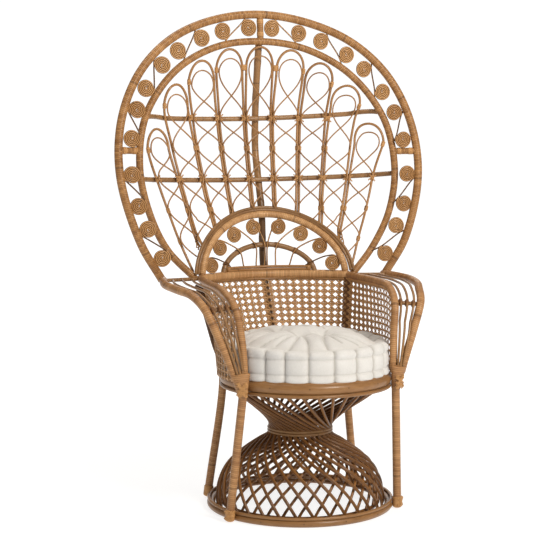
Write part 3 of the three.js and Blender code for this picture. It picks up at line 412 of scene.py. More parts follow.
    def cross(
        self,
        centre: Array,
        front: Array,
        upwards: Array,
        half_width: float,
        half_height: float,
        lift: float,
        strips: int = 2,
        strip: float = 1.7,
    ) -> None:
        """Adds strips of peel laid crosswise over a joint: each an arc that rises in the middle by lift.

        Args:
            centre: The middle of the joint, on its front.
            front: The direction the joint faces.
            upwards: Its upright direction.
            half_width: Half the width that the strips span.
            half_height: Half the height that they span.
            lift: How far the middle of the cross stands before its corners.
            strips: Strips in each direction.
            strip: Half the width of a strip.
        """
        front, upwards = unit(np.asarray(front, float)), unit(np.asarray(upwards, float))
        sideways = np.cross(upwards, front)
        share = np.linspace(-1, 1, 9)[:, None]
        for way in (-1, 1):
            for k in range(strips):
                aside = (k - (strips - 1) / 2) * 2.1 * strip
                path = share * (way * half_width * sideways + half_height * upwards)
                path = path + aside * unit(way * half_width * upwards - half_height * sideways)
                rise = lift * (1 - share**2) + (0.5 if way > 0 else 0)
                self.rod(centre + path + rise * front, strip, 6, 0.6, facing=front)

    def mesh(self, name: str) -> bpy.types.Mesh:
        """Makes the Blender mesh, in metres and in the model's frame.

        Args:
            name: The mesh's name.

        Returns:
            The mesh, smooth, with its UV map and tones.
        """
        places = (np.concatenate(self.places) + SOURCE_SHIFT) * METRE
        quads, quad_uvs = np.concatenate(self.quads), np.concatenate(self.quad_uvs)
        sizes = np.concatenate([np.full(len(quads), 4), [len(cap) for cap in self.caps]]).astype(np.int32)
        corners = np.concatenate([quads.ravel(), *self.caps]).astype(np.int32)
        uvs = np.concatenate([quad_uvs.reshape(-1, 2), *self.cap_uvs])
        mesh = bpy.data.meshes.new(name)
        mesh.vertices.add(len(places))
        mesh.vertices.foreach_set("co", places.astype(np.float32).ravel())
        mesh.loops.add(len(corners))
        mesh.loops.foreach_set("vertex_index", corners)
        mesh.polygons.add(len(sizes))
        mesh.polygons.foreach_set("loop_start", np.concatenate([[0], np.cumsum(sizes)[:-1]]).astype(np.int32))
        mesh.update(calc_edges=True)
        mesh.uv_layers.new(name=ALONG).data.foreach_set("uv", uvs.astype(np.float32).ravel())
        tone = mesh.attributes.new(TONE, "FLOAT", "POINT")
        tone.data.foreach_set("value", np.concatenate(self.tones).astype(np.float32))
        mesh.shade_smooth()
        mesh.validate()
        return mesh


class Recipe:
    """A material's or a world's nodes, written one by one."""

    def __init__(self, owner: bpy.types.Material | bpy.types.World) -> None:
        """Empties the owner's nodes."""
        self.owner = owner
        owner.use_nodes = True
        self.tree = owner.node_tree
        self.tree.nodes.clear()

    def add(
        self, kind: Node, inputs: dict | None = None, out: int | str = 0, **settings: object
    ) -> Socket:
        """Adds a node with its settings and links.

        Args:
            kind: The kind of node.
            inputs: A value or another node's output for each input named or numbered.
            out: Which output is given back.
            settings: The node's own properties.

        Returns:
            The node's chosen output.
        """
        node = self.tree.nodes.new(kind.value)
        for name, value in settings.items():
            setattr(node, name, value)
        for key, value in (inputs or {}).items():
            if isinstance(value, Socket):
                self.tree.links.new(value, node.inputs[key])
            else:
                node.inputs[key].default_value = value
        return node.outputs[out] if len(node.outputs) else node

    def math(self, operation: str, *terms: object, clamp: bool = False) -> Socket:
        """One step of arithmetic on numbers or outputs."""
        return self.add(Node.MATH, dict(enumerate(terms)), operation=operation, use_clamp=clamp)

    def weigh(self, offset: float, *terms: tuple[object, float]) -> Socket:
        """An offset plus outputs times weights, held between 0 and 1."""
        total = offset
        for k, (value, weight) in enumerate(terms):
            total = self.math("MULTIPLY_ADD", value, weight, total, clamp=k == len(terms) - 1)
        return total

    def axis(self, vector: object, number: int) -> Socket:
        """One coordinate of a vector."""
        return self.add(Node.SPLIT, {0: vector}, out=number)

    def body(self) -> Socket:
        """The place on the model, in metres."""
        return self.add(Node.COORDINATES, out="Object")

    def strand(self) -> tuple[Socket, Socket, Socket]:
        """The share round a strand, the metres along it and its tone."""
        uv = self.add(Node.UV, uv_map=ALONG)
        return self.axis(uv, 0), self.axis(uv, 1), self.add(Node.ATTRIBUTE, out="Fac", attribute_name=TONE)

    def mix(self, share: object, first: str | object, second: str | object) -> Socket:
        """A colour between two colours, each an output or hex digits."""
        first, second = (linear(colour) if isinstance(colour, str) else colour for colour in (first, second))
        return self.add(Node.MIX, {0: share, 6: first, 7: second}, out=2, data_type="RGBA")

    def noise(
        self, vector: object, scale: float, detail: float = 3.0, stretch: object | None = None
    ) -> Socket:
        """A noise pattern of a scale per metre, with a fourth coordinate where one is given."""
        inputs = {"Vector": vector, "Scale": scale, "Detail": detail}
        if stretch is not None:
            inputs["W"] = stretch
        return self.add(Node.NOISE, inputs, noise_dimensions="3D" if stretch is None else "4D")

    def finish(
        self, colour: object, roughness: object, height: object, depth: float, **values: object
    ) -> bpy.types.Material:
        """Joins colour, roughness and bump to the shader.

        Args:
            colour: The base colour's output.
            roughness: The roughness's output.
            height: The bump's height, from 0 to 1.
            depth: The bump's depth, in metres.
            values: Other shader inputs, with underscores for the spaces in their names.

        Returns:
            The material.
        """
        bump = self.add(Node.BUMP, {"Height": height, "Distance": depth, "Strength": 1.0})
        inputs = {"Base Color": colour, "Roughness": roughness, "Normal": bump}
        inputs.update({name.replace("_", " "): value for name, value in values.items()})
        shader = self.add(Node.SHADER, inputs)
        self.add(Node.OUTPUT, {"Surface": shader})
        return self.owner


@dataclass(frozen=True)
class PeelWinding:
    """Flat peel wound round a pole, each turn beside the last.

    The phase is metres along / pitch + share round, so it climbs one strip per turn. Its whole part names the strip
    and gives the strip its own colour, and its fraction shapes the strip's rounded face and the dark groove between.
    Scales are noise cells per metre. The tone weights are those of the strip's own tone, the fibres and the patches.
    """

    name: str = "wrapped_peel"
    light: str = "c99966"
    dark: str = "7f522d"
    groove: str = "3f2511"
    pitch: float = 0.0056
    groove_share: float = 0.26
    depth: float = 0.0005
    joint_pitch: float = 0.27
    joint_width: float = 0.022
    wander_scale: float = 55.0
    wander: float = 0.15
    fibre_scale: float = 90.0
    patch_scale: float = 14.0
    base_tone: float = -0.28
    tone_weights: tuple[float, float, float] = (0.4, 0.5, 0.6)
    shaded_above: float = 9.0

    def material(self) -> bpy.types.Material:
        """Writes the finish: strips, long fibres, uneven stain, dark grooves and joints, and painted shade above
        shaded_above metres.
        """
        r = Recipe(bpy.data.materials.new(self.name))
        round_share, along, tone = r.strand()
        body = r.body()
        wander = r.noise(body, self.wander_scale, 1.0)
        phase = r.math("MULTIPLY_ADD", along, 1 / self.pitch, round_share)
        phase = r.math("MULTIPLY_ADD", wander, self.wander, phase)
        strip = r.math("FLOOR", phase)
        within = r.math("FRACT", phase)
        edge = r.math("ABSOLUTE", r.math("MULTIPLY_ADD", within, 2.0, -1.0))
        gap = r.add(Node.MAP, {"Value": edge, 1: 1 - self.groove_share, 2: 1.0}, interpolation_type="SMOOTHSTEP")
        own = r.add(Node.WHITE_NOISE, {"W": r.math("MULTIPLY_ADD", tone, 97.0, strip)}, noise_dimensions="1D")
        fibre = r.noise(body, self.fibre_scale, 2.0, stretch=r.math("MULTIPLY", along, 14.0))
        patch = r.noise(body, self.patch_scale)
        share = r.weigh(self.base_tone, *zip((own, fibre, patch), self.tone_weights, strict=True))
        colour = r.mix(share, self.dark, self.light)
        count = r.math("MULTIPLY_ADD", along, 1 / self.joint_pitch, r.math("MULTIPLY", tone, 7.3))
        joint = r.math("LESS_THAN", r.math("FRACT", count), self.joint_width)
        gap = r.math("MAXIMUM", r.math("MULTIPLY", gap, 0.72), r.math("MULTIPLY", joint, 0.5))
        colour = r.mix(gap, colour, self.groove)
        # Painted shade: above shaded_above metres the colour goes most of the way to the groove colour.
        shade = r.add(Node.MAP, {"Value": r.axis(body, 2), 1: self.shaded_above, 2: self.shaded_above + 0.03})
        colour = r.mix(r.math("MULTIPLY", shade, 0.85), colour, self.groove)
        face = r.math("SUBTRACT", 1.0, r.math("POWER", edge, 3.0))
        height = r.math("MULTIPLY_ADD", fibre, 0.22, face)
        roughness = r.math("MULTIPLY_ADD", fibre, 0.25, 0.33)
        return r.finish(colour, roughness, height, self.depth, Coat_Weight=0.1, Coat_Roughness=0.3, IOR=1.33)


@dataclass(frozen=True)
class BarePole:
    """A stained pole or core rod: long fibres, a darker ring where each leaf grew, and a light sheen of wear.

    The fibres are noise on cos and sin of the share round and slowly on the metres along, so they have no seam.
    Painted shade darkens a rod's two sides, where it lies against the next, and the rod below shaded_below where that
    is set. Scales are noise cells per unit of place.
    """

    name: str = "stained_pole"
    light: str = "a2794d"
    dark: str = "583a20"
    ring: str = "341e0e"
    ring_pitch: float = 0.19
    ring_width: float = 0.012
    depth: float = 0.0004
    ring_depth: float = 0.55
    painted_side_shade: float = 0.0
    side_power: float = 2.6
    fibre_scale: float = 5.0
    fibre_run: float = 9.0
    patch_scale: float = 18.0
    base_tone: float = -0.35
    tone_weights: tuple[float, float, float] = (0.3, 0.75, 0.7)
    shaded_below: float = -9.0
    shade_height: float = 0.12

    def material(self) -> bpy.types.Material:
        """Writes the finish."""
        r = Recipe(bpy.data.materials.new(self.name))
        round_share, along, tone = r.strand()
        body = r.body()
        angle = r.math("MULTIPLY", round_share, TURN)
        fibres = r.add(
            Node.COMBINE,
            {
                0: r.math("COSINE", angle),
                1: r.math("SINE", angle),
                2: r.math("MULTIPLY_ADD", along, self.fibre_run, tone),
            },
        )
        fibre = r.noise(fibres, self.fibre_scale, 4.0, stretch=r.math("MULTIPLY", tone, 31.0))
        patch = r.noise(body, self.patch_scale)
        count = r.math("MULTIPLY_ADD", along, 1 / self.ring_pitch, r.math("MULTIPLY", tone, 7.0))
        off = r.math("ABSOLUTE", r.math("MULTIPLY_ADD", r.math("FRACT", count), 2.0, -1.0))
        ring = r.add(Node.MAP, {"Value": off, 1: 2 * self.ring_width, 2: 0.0}, interpolation_type="SMOOTHSTEP")
        share = r.weigh(self.base_tone, *zip((tone, fibre, patch), self.tone_weights, strict=True))
        colour = r.mix(share, self.dark, self.light)
        colour = r.mix(r.math("MULTIPLY", ring, self.ring_depth), colour, self.ring)
        # Painted shade: painted_side_shade darkens each rod's two sides, in the crease where rods lie together.
        beside = r.math("POWER", r.math("ABSOLUTE", r.math("SINE", angle)), self.side_power)
        colour = r.mix(r.math("MULTIPLY", beside, self.painted_side_shade), colour, self.ring)
        # Painted shade: below shaded_below metres the colour darkens towards the ring colour.
        ends = {"Value": r.axis(body, 2), 1: self.shaded_below, 2: self.shaded_below - self.shade_height}
        shade = r.add(Node.MAP, ends)
        colour = r.mix(r.math("MULTIPLY", shade, 0.7), colour, self.ring)
        height = r.math("MULTIPLY_ADD", ring, 0.6, r.math("MULTIPLY", fibre, 0.5))
        roughness = r.math("MULTIPLY_ADD", fibre, 0.22, 0.28)
        return r.finish(colour, roughness, height, self.depth, Coat_Weight=0.2, Coat_Roughness=0.25, IOR=1.33)


@dataclass(frozen=True)
class PlainCotton:
    """Undyed cotton: a plain weave of 0.9 mm threads with slubs, softly mottled, and greyed by painted shade in its
    creases.
    """

    name: str = "plain_cotton"
    light: str = "dcd9d5"
    dark: str = "c5c1ba"
    crease: str = "8f877a"
    crease_share: float = 0.55
    thread: float = 0.0009
    depth: float = 0.00022

    def material(self) -> bpy.types.Material:
        """Writes the finish on Object coordinates, so that the weave doesn't depend on a UV map."""
        r = Recipe(bpy.data.materials.new(self.name))
        body = r.body()
        waves = [r.math("SINE", r.math("MULTIPLY", r.axis(body, k), TURN / self.thread)) for k in range(3)]
        weave = r.math("MULTIPLY", waves[0], waves[1])
        weave = r.math("MULTIPLY_ADD", waves[2], waves[0], weave)
        slub = r.noise(body, 900.0, 2.0)
        fluff = r.noise(body, 260.0, 3.0)
        cloud = r.noise(body, 22.0, 3.0)
        share = r.weigh(-0.1, (cloud, 0.7), (fluff, 0.6), (weave, 0.05))
        colour = r.mix(share, self.dark, self.light)
        # Painted shade: the crease attribute greys the cotton in its folds, seams, stitch lines and underneath.
        crease_shade = r.math("MULTIPLY", r.add(Node.ATTRIBUTE, out="Fac", attribute_name=CREASE), self.crease_share)
        colour = r.mix(crease_shade, colour, self.crease)
        height = r.math("MULTIPLY_ADD", weave, 0.25, r.math("MULTIPLY_ADD", slub, 0.6, fluff))
        roughness = r.math("MULTIPLY_ADD", fluff, 0.1, 0.84)
        return r.finish(colour, roughness, height, self.depth, Sheen_Weight=0.25, Sheen_Roughness=0.5)


@dataclass(frozen=True)
class SawnSlat:
    """The seat deck's slats: pale stained wood with grain along y and a dull face."""

    name: str = "deck_slat"
    light: str = "a9845a"
    dark: str = "755334"
    depth: float = 0.0005

    def material(self) -> bpy.types.Material:
        """Writes the finish on Object coordinates stretched along the slats."""
        r = Recipe(bpy.data.materials.new(self.name))
        body = r.body()
        x, y, z = (r.axis(body, k) for k in range(3))
        grain = r.noise(r.add(Node.COMBINE, {0: x, 1: r.math("MULTIPLY", y, 0.06), 2: z}), 160.0, 4.0)
        wear = r.noise(body, 16.0, 3.0)
        share = r.weigh(-0.25, (wear, 0.5), (grain, 0.9))
        colour = r.mix(share, self.dark, self.light)
        return r.finish(colour, r.math("MULTIPLY_ADD", grain, 0.2, 0.55), grain, self.depth)


@dataclass(frozen=True)
class PaleFloor:
    """The studio's floor: matt white acrylic lit from below, so that it stays pale in the shade."""

    name: str = "pale_floor"
    colour: str = "9a9a99"
    near: float = 0.9
    far: float = 2.6
    glow: float = 0.78
    far_glow: float = 1.02

    def material(self) -> bpy.types.Material:
        """Writes a matt finish whose glow rises with the distance from the chair."""
        r = Recipe(bpy.data.materials.new(self.name))
        grain = r.noise(r.body(), 3.0, 2.0)
        roughness = r.math("MULTIPLY_ADD", grain, 0.05, 0.9)
        away = r.add(Node.VECTOR, {0: r.body()}, out="Value", operation="LENGTH")
        glow = r.add(Node.MAP, {"Value": away, 1: self.near, 2: self.far, 3: self.glow, 4: self.far_glow})
        return r.finish(
            linear(self.colour), roughness, grain, 0.00005, Emission_Color=linear("ffffff"), Emission_Strength=glow
        )


class Finish(Enum):
    """Every finish in the scene, under the name of what it is used on."""

    WRAPPED = PeelWinding()
    HOOP_WRAPPED = PeelWinding("hoop_peel", "bf8e58", "74481f", "38200c")
    RIM_WRAPPED = PeelWinding("rim_peel", "deb07c", "98683a", "4c2d16")
    # The rear legs get painted shade above 0.43 m, where they stand behind the corner of the cane wall.
    SHADED_WRAPPED = PeelWinding("shaded_wrapped_peel", shaded_above=0.43)
    LASHING = PeelWinding(
        "lashing_peel", "d3a36c", "a87641", "6b431f", pitch=0.0034, depth=0.0003, joint_pitch=9
    )
    DARK_LASHING = PeelWinding(
        "dark_lashing_peel", "94683f", "5f3c20", "2f1c0e", pitch=0.0034, depth=0.0003, joint_pitch=9
    )
    POLE = BarePole()
    TWIST_ROD = BarePole("twist_rod", "a26f3a", "5a3412", "2b1606", painted_side_shade=0.45)
    BENT_POLE = BarePole("bent_pole", "a1764a", "67431f", ring_depth=0.0)
    FAN_ROD = BarePole("fan_core_rod", "b08250", "7d5430", "4d3018", ring_pitch=0.31)
    SCROLL_ROD = BarePole(
        "scroll_core_rod", "d6a36a", "9c6a39", "2a1606", ring_pitch=0.43, painted_side_shade=1.0, side_power=1.5
    )
    # The knotted post gets painted shade below 0.98 m, where it stands behind the half-round; the ring nails, lower
    # down, are darkened by it too.
    DARK_POLE = BarePole(
        "knotted_pole", "ab8050", "67452a", "2f1b0d", ring_pitch=0.11, ring_width=0.03, shaded_below=0.98
    )
    CANE = BarePole("split_cane", "e6b47b", "9c6b3a", "4b2a10", ring_pitch=0.23, painted_side_shade=0.4)
    COTTON = PlainCotton()
    SLAT = SawnSlat()
    FLOOR = PaleFloor()


@cache
def material_of(finish: Finish) -> bpy.types.Material:
    """A finish's material, made once and shared by the pieces."""
    return finish.value.material()


@dataclass(frozen=True)
class BackForm:
    """The dished surfaces on which the hoops, the fan and the half-round lie, in millimetres."""

    sill_height: float = 664
    sill_back: float = 336
    rise: float = 823
    lean: float = 60
    dish: tuple[float, float, float] = (194, 100, 118)
    hoop_half: float = 487
    inner_half: float = 419
    inner_drop: float = 85
    sill_half: float = 242
    sill_sweep: float = 103
    rim_half: float = 235
    rim_rise: float = 190
    foot_back: float = 12
    reach: float = 150
    bulge: float = 42
    bulge_middle: float = 0.41
    bulge_half: float = 0.487
    bulge_edge: float = 0.16
    bulge_steps: tuple[float, float, float] = (0.14, 0.59, 0.87)
    bulge_fade: float = 0.75

    @property
    def sill_end(self) -> Array:
        """The sill's right end."""
        return np.array([self.sill_half, self.sill_back - self.sill_sweep, self.sill_height])

    def share(self, z: Array) -> Array:
        """Height above the sill as a share of the back's rise."""
        return (np.asarray(z, float) - self.sill_height) / self.rise

    def back(self, x: Array, z: Array) -> Array:
        """The hoops' surface: it leans back as it rises and comes forward with x squared."""
        up = self.share(z)
        low, middle, high = self.dish
        dish = low * (1 - up) * (1 - 2 * up) + 4 * middle * up * (1 - up) + high * up * (2 * up - 1)
        return self.sill_back + self.lean * up - dish * (np.asarray(x, float) / self.hoop_half) ** 2

    def panel(self, x: Array, z: Array) -> Array:
        """The half-round's surface, which sweeps forward with x squared."""
        sweep = self.sill_sweep * (np.asarray(x, float) / self.sill_half) ** 2
        return self.sill_back + self.lean * self.share(z) - sweep

    def fan(self, x: Array, z: Array) -> Array:
        """The fan's surface: the back's, drawn forward to the rim at its feet and bowed back in its middle."""
        x = np.asarray(x, float)
        above = z - self.ellipse(x, self.rim_half, self.rim_rise)
        behind = self.back(x, z) - self.panel(np.minimum(np.abs(x), self.rim_half), z) - self.foot_back
        toe = np.maximum(0, behind) * ease(self.reach - above, 0, self.reach)
        up = self.share(z)
        from_middle = np.hypot(x / self.inner_half, (up - self.bulge_middle) / self.bulge_half)
        low, middle, high = self.bulge_steps
        bulge = self.bulge * ease(up, low, middle) * (1 - self.bulge_fade * ease(up, middle, high))
        return self.back(x, z) - toe + bulge * ease(1 - from_middle, 0, self.bulge_edge)

    def ellipse(self, x: Array, half: float, rise: float) -> Array:
        """Height of a half ellipse that stands on the sill."""
        return self.sill_height + rise * np.sqrt(np.maximum(0, 1 - (np.asarray(x, float) / half) ** 2))

    def normal(self, surface: Surface, x: Array, z: Array) -> Array:
        """Unit vectors out of a surface's back, from its slopes across and upwards."""
        across = (surface(x + AIR, z) - surface(x - AIR, z)) / (2 * AIR)
        upwards = (surface(x, z + AIR) - surface(x, z - AIR)) / (2 * AIR)
        return unit(spots(-across, 1.0, -upwards))

    def on(self, surface: Surface, x: Array, z: Array, depth: Number = 0.0) -> Array:
        """Places on a surface, or behind it by depth."""
        x, z = np.broadcast_arrays(np.asarray(x, float), np.asarray(z, float))
        behind = np.broadcast_to(np.asarray(depth, float), x.shape)[..., None]
        return spots(x, surface(x, z), z) + behind * self.normal(surface, x, z)

    def hoop(self, shares: Sequence, half: float, top: float, toe: float) -> Line:
        """A hoop through shares of its half width and height, mirrored, with its feet drawn forward by toe."""
        out, high = np.asarray(shares, float).T
        x, z = half * out, blend(self.sill_height, top, high)
        side = spots(x, self.back(x, z), z)
        side[-1, 1] -= toe
        return Line(spline(np.concatenate([mirrored(side[:0:-1], -1), side])))


FORM = BackForm()


def hand_in(
    name: str,
    shape: Strands | bpy.types.Mesh,
    finish: Finish,
    slot: Slot,
    replaces: Sequence[str] = (),
    body: str = CHAIR_BODY,
) -> bpy.types.Object:
    """Makes a piece's object, gives it its finish and lets it ride on its body.

    Args:
        name: The piece's name.
        shape: Its strands, or its finished mesh.
        finish: Its finish.
        slot: The record's slot that the piece's finish belongs to; not used.
        replaces: The CAD nodes that it stands for.
        body: The CAD body that it moves with.

    Returns:
        The object.
    """
    mesh = shape.mesh(name) if isinstance(shape, Strands) else shape
    mesh.materials.append(material_of(finish))
    piece = bpy.data.objects.new(name, mesh)
    bpy.context.scene.collection.objects.link(piece)
    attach(piece, body)
    if replaces:
        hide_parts(*replaces)
    LOG.info("%s: %d faces, finish %s", name, len(mesh.polygons), finish.value.name)
    return piece


def spiral(
    centre: Array, end: Array, leaving: Array, front: Array, inner: float, turns: float
) -> Array:
    """A flat spiral that grows evenly from its eye and ends in a place, heading away from there.

    Args:
        centre: The spiral's middle.
        end: Where it ends.
        leaving: The direction it has there.
        front: The direction it faces.
        inner: Radius of the eye.
        turns: Turns from the eye to the end.

    Returns:
        The places, from the eye to the end.
    """
    front = unit(front)
    arm = end - centre
    arm = arm - np.dot(arm, front) * front
    reach = np.linalg.norm(arm)
    arm = arm / reach
    side = np.cross(front, arm)
    way = 1 if np.dot(side, leaving) > 0 else -1
    share = np.linspace(0, 1, SPIRAL_PLACES) ** SPIRAL_GROWTH
    angle = way * TURN * turns * (share - 1)
    radius = blend(inner, reach, share)[:, None]
    return centre + radius * (np.cos(angle)[:, None] * arm + np.sin(angle)[:, None] * side)


@dataclass
class Hoops:
    """The two big hoops, the three spacers between them and the twelve S-scrolls in their gap."""

    outer_pole: float = 25.6
    inner_pole: float = 22.4
    spacer_pole: float = 21
    spacer_share: float = 0.475
    winding_shares: tuple = (0.27, 0.73)
    toe: float = 44
    scroll_radius: float = 29.2
    scroll_rod: float = 5.5
    link_rod: float = 5.0
    scroll_depth: float = 3.3
    scroll_forward: float = 14
    forward_steps: tuple = (0.4, 0.6)
    scroll_turns: float = 5.0
    scroll_eye: float = 0.45
    outer_shares: tuple = (
        (0, 1), (0.336, 0.97), (0.62, 0.893), (0.838, 0.766), (0.972, 0.591), (1, 0.384), (0.889, 0.141), (0.749, 0),
    )
    inner_shares: tuple = (
        (0, 1), (0.354, 0.971), (0.692, 0.863), (0.936, 0.673), (1, 0.456), (0.938, 0.269), (0.808, 0.119), (0.615, 0),
    )
    scroll_shares: tuple = (
        ((0.036, 0.5), (0.115, 0.48)), ((0.186, 0.51), (0.269, 0.485)), ((0.336, 0.51), (0.42, 0.515)),
        ((0.489, 0.54), (0.571, 0.545)), ((0.674, 0.55), (0.7625, 0.515)), ((0.829, 0.575), (0.9225, 0.475)),
    )

    def __post_init__(self) -> None:
        """Works out both routes."""
        top = FORM.sill_height + FORM.rise
        self.outer = FORM.hoop(self.outer_shares, FORM.hoop_half, top, 0)
        self.inner = FORM.hoop(self.inner_shares, FORM.inner_half, top - FORM.inner_drop, self.toe)

    def gap(self, down: float, side: int) -> tuple[Array, Array]:
        """Places on the outer and inner hoop at a share of the way from the top to a foot."""
        share = 0.5 + side * down / 2
        return self.outer.at(share), self.inner.at(share)

    def build(self) -> None:
        """Makes the hoops, spacers and scrolls."""
        for name, line, pole in (("outer", self.outer, self.outer_pole), ("inner", self.inner, self.inner_pole)):
            strands = Strands()
            strands.rod(line.cut(0, 1, 150), pole / 2, 16, tone=0.5)
            hand_in(f"{name}_hoop_wrapped", strands, Finish.HOOP_WRAPPED, Slot.WRAPPED, [f"{name}_hoop"])
        self.build_spacers()
        for side, word in SIDES:
            self.build_scrolls(side, word)

    def build_spacers(self) -> None:
        """Makes the three short poles between the hoops, each wound at both ends."""
        height = FORM.sill_height + self.spacer_share * FORM.rise
        ends = [self.gap(0, 1)]
        for side, _ in SIDES:
            ends.append(tuple(hoop.at(hoop.share_at_height(height, side)) for hoop in (self.outer, self.inner)))
        poles, windings = Strands(), Strands()
        half = self.spacer_pole / 2
        for outside, inside in ends:
            poles.rod(Line([outside, inside]).cut(0.06, 0.94, 8), half, 14)
            axis = inside - outside
            across = np.cross(axis, [0, 1, 0])
            for share in self.winding_shares:
                windings.coil(outside + share * axis, axis, across, half, half, length=12, turns=4)
        names = ["hoop_spacer_top", "hoop_spacer_left", "hoop_spacer_right"]
        hand_in("hoop_spacers_wrapped", poles, Finish.HOOP_WRAPPED, Slot.WRAPPED, names)
        hand_in("hoop_spacer_windings", windings, Finish.LASHING, Slot.WRAPPED)

    def seat(self, place: tuple[float, float], side: int) -> tuple[Array, Array]:
        """A scroll's middle in the gap, and the direction outwards across the gap."""
        outside, inside = self.gap(place[0], side)
        outwards = (outside - inside) * np.array([1, 0, 1])
        forward = self.scroll_forward * ease(place[0], *self.forward_steps)
        return blend(outside, inside, place[1]) - np.array([0, forward, 0]), unit(outwards)

    def build_scrolls(self, side: int, word: str) -> None:
        """Makes one side's S-scrolls: two spirals joined by a straight run that goes on to both hoops."""
        strands = Strands()
        front = np.array([0.0, -1.0, 0.0])
        half = self.scroll_rod / 2
        reach = self.scroll_radius - half
        for pair in self.scroll_shares:
            (upper, outwards), (lower, _) = (self.seat(place, side) for place in pair)
            apart = (lower - upper) * np.array([1, 0, 1])
            lean = 2 * reach / np.linalg.norm(apart)
            along = unit(apart)
            aside = unit(outwards - np.dot(outwards, along) * along)
            away = lean * along + np.sqrt(1 - lean**2) * aside
            start, end = upper + away * reach, lower - away * reach
            onwards = unit(end - start)
            far_start = self.outer.nearest(start - onwards * reach)
            far_end = self.inner.nearest(end + onwards * reach)
            tone = float(strands.random.random())
            strands.rod(spline([far_start, start, end, far_end], per_span=10), self.link_rod / 2, 7, tone=tone)
            for centre, place, leaving in ((upper, start, onwards), (lower, end, -onwards)):
                route = spiral(centre, place, leaving, front, half * self.scroll_eye, self.scroll_turns)
                strands.rod(route, half, 8, self.scroll_depth, facing=front, tone=tone)
        names = [f"hoop_scroll_{word}_{k + 1}" for k in range(len(self.scroll_shares))]
        hand_in(f"hoop_scrolls_{word}", strands, Finish.SCROLL_ROD, Slot.CORE, names)


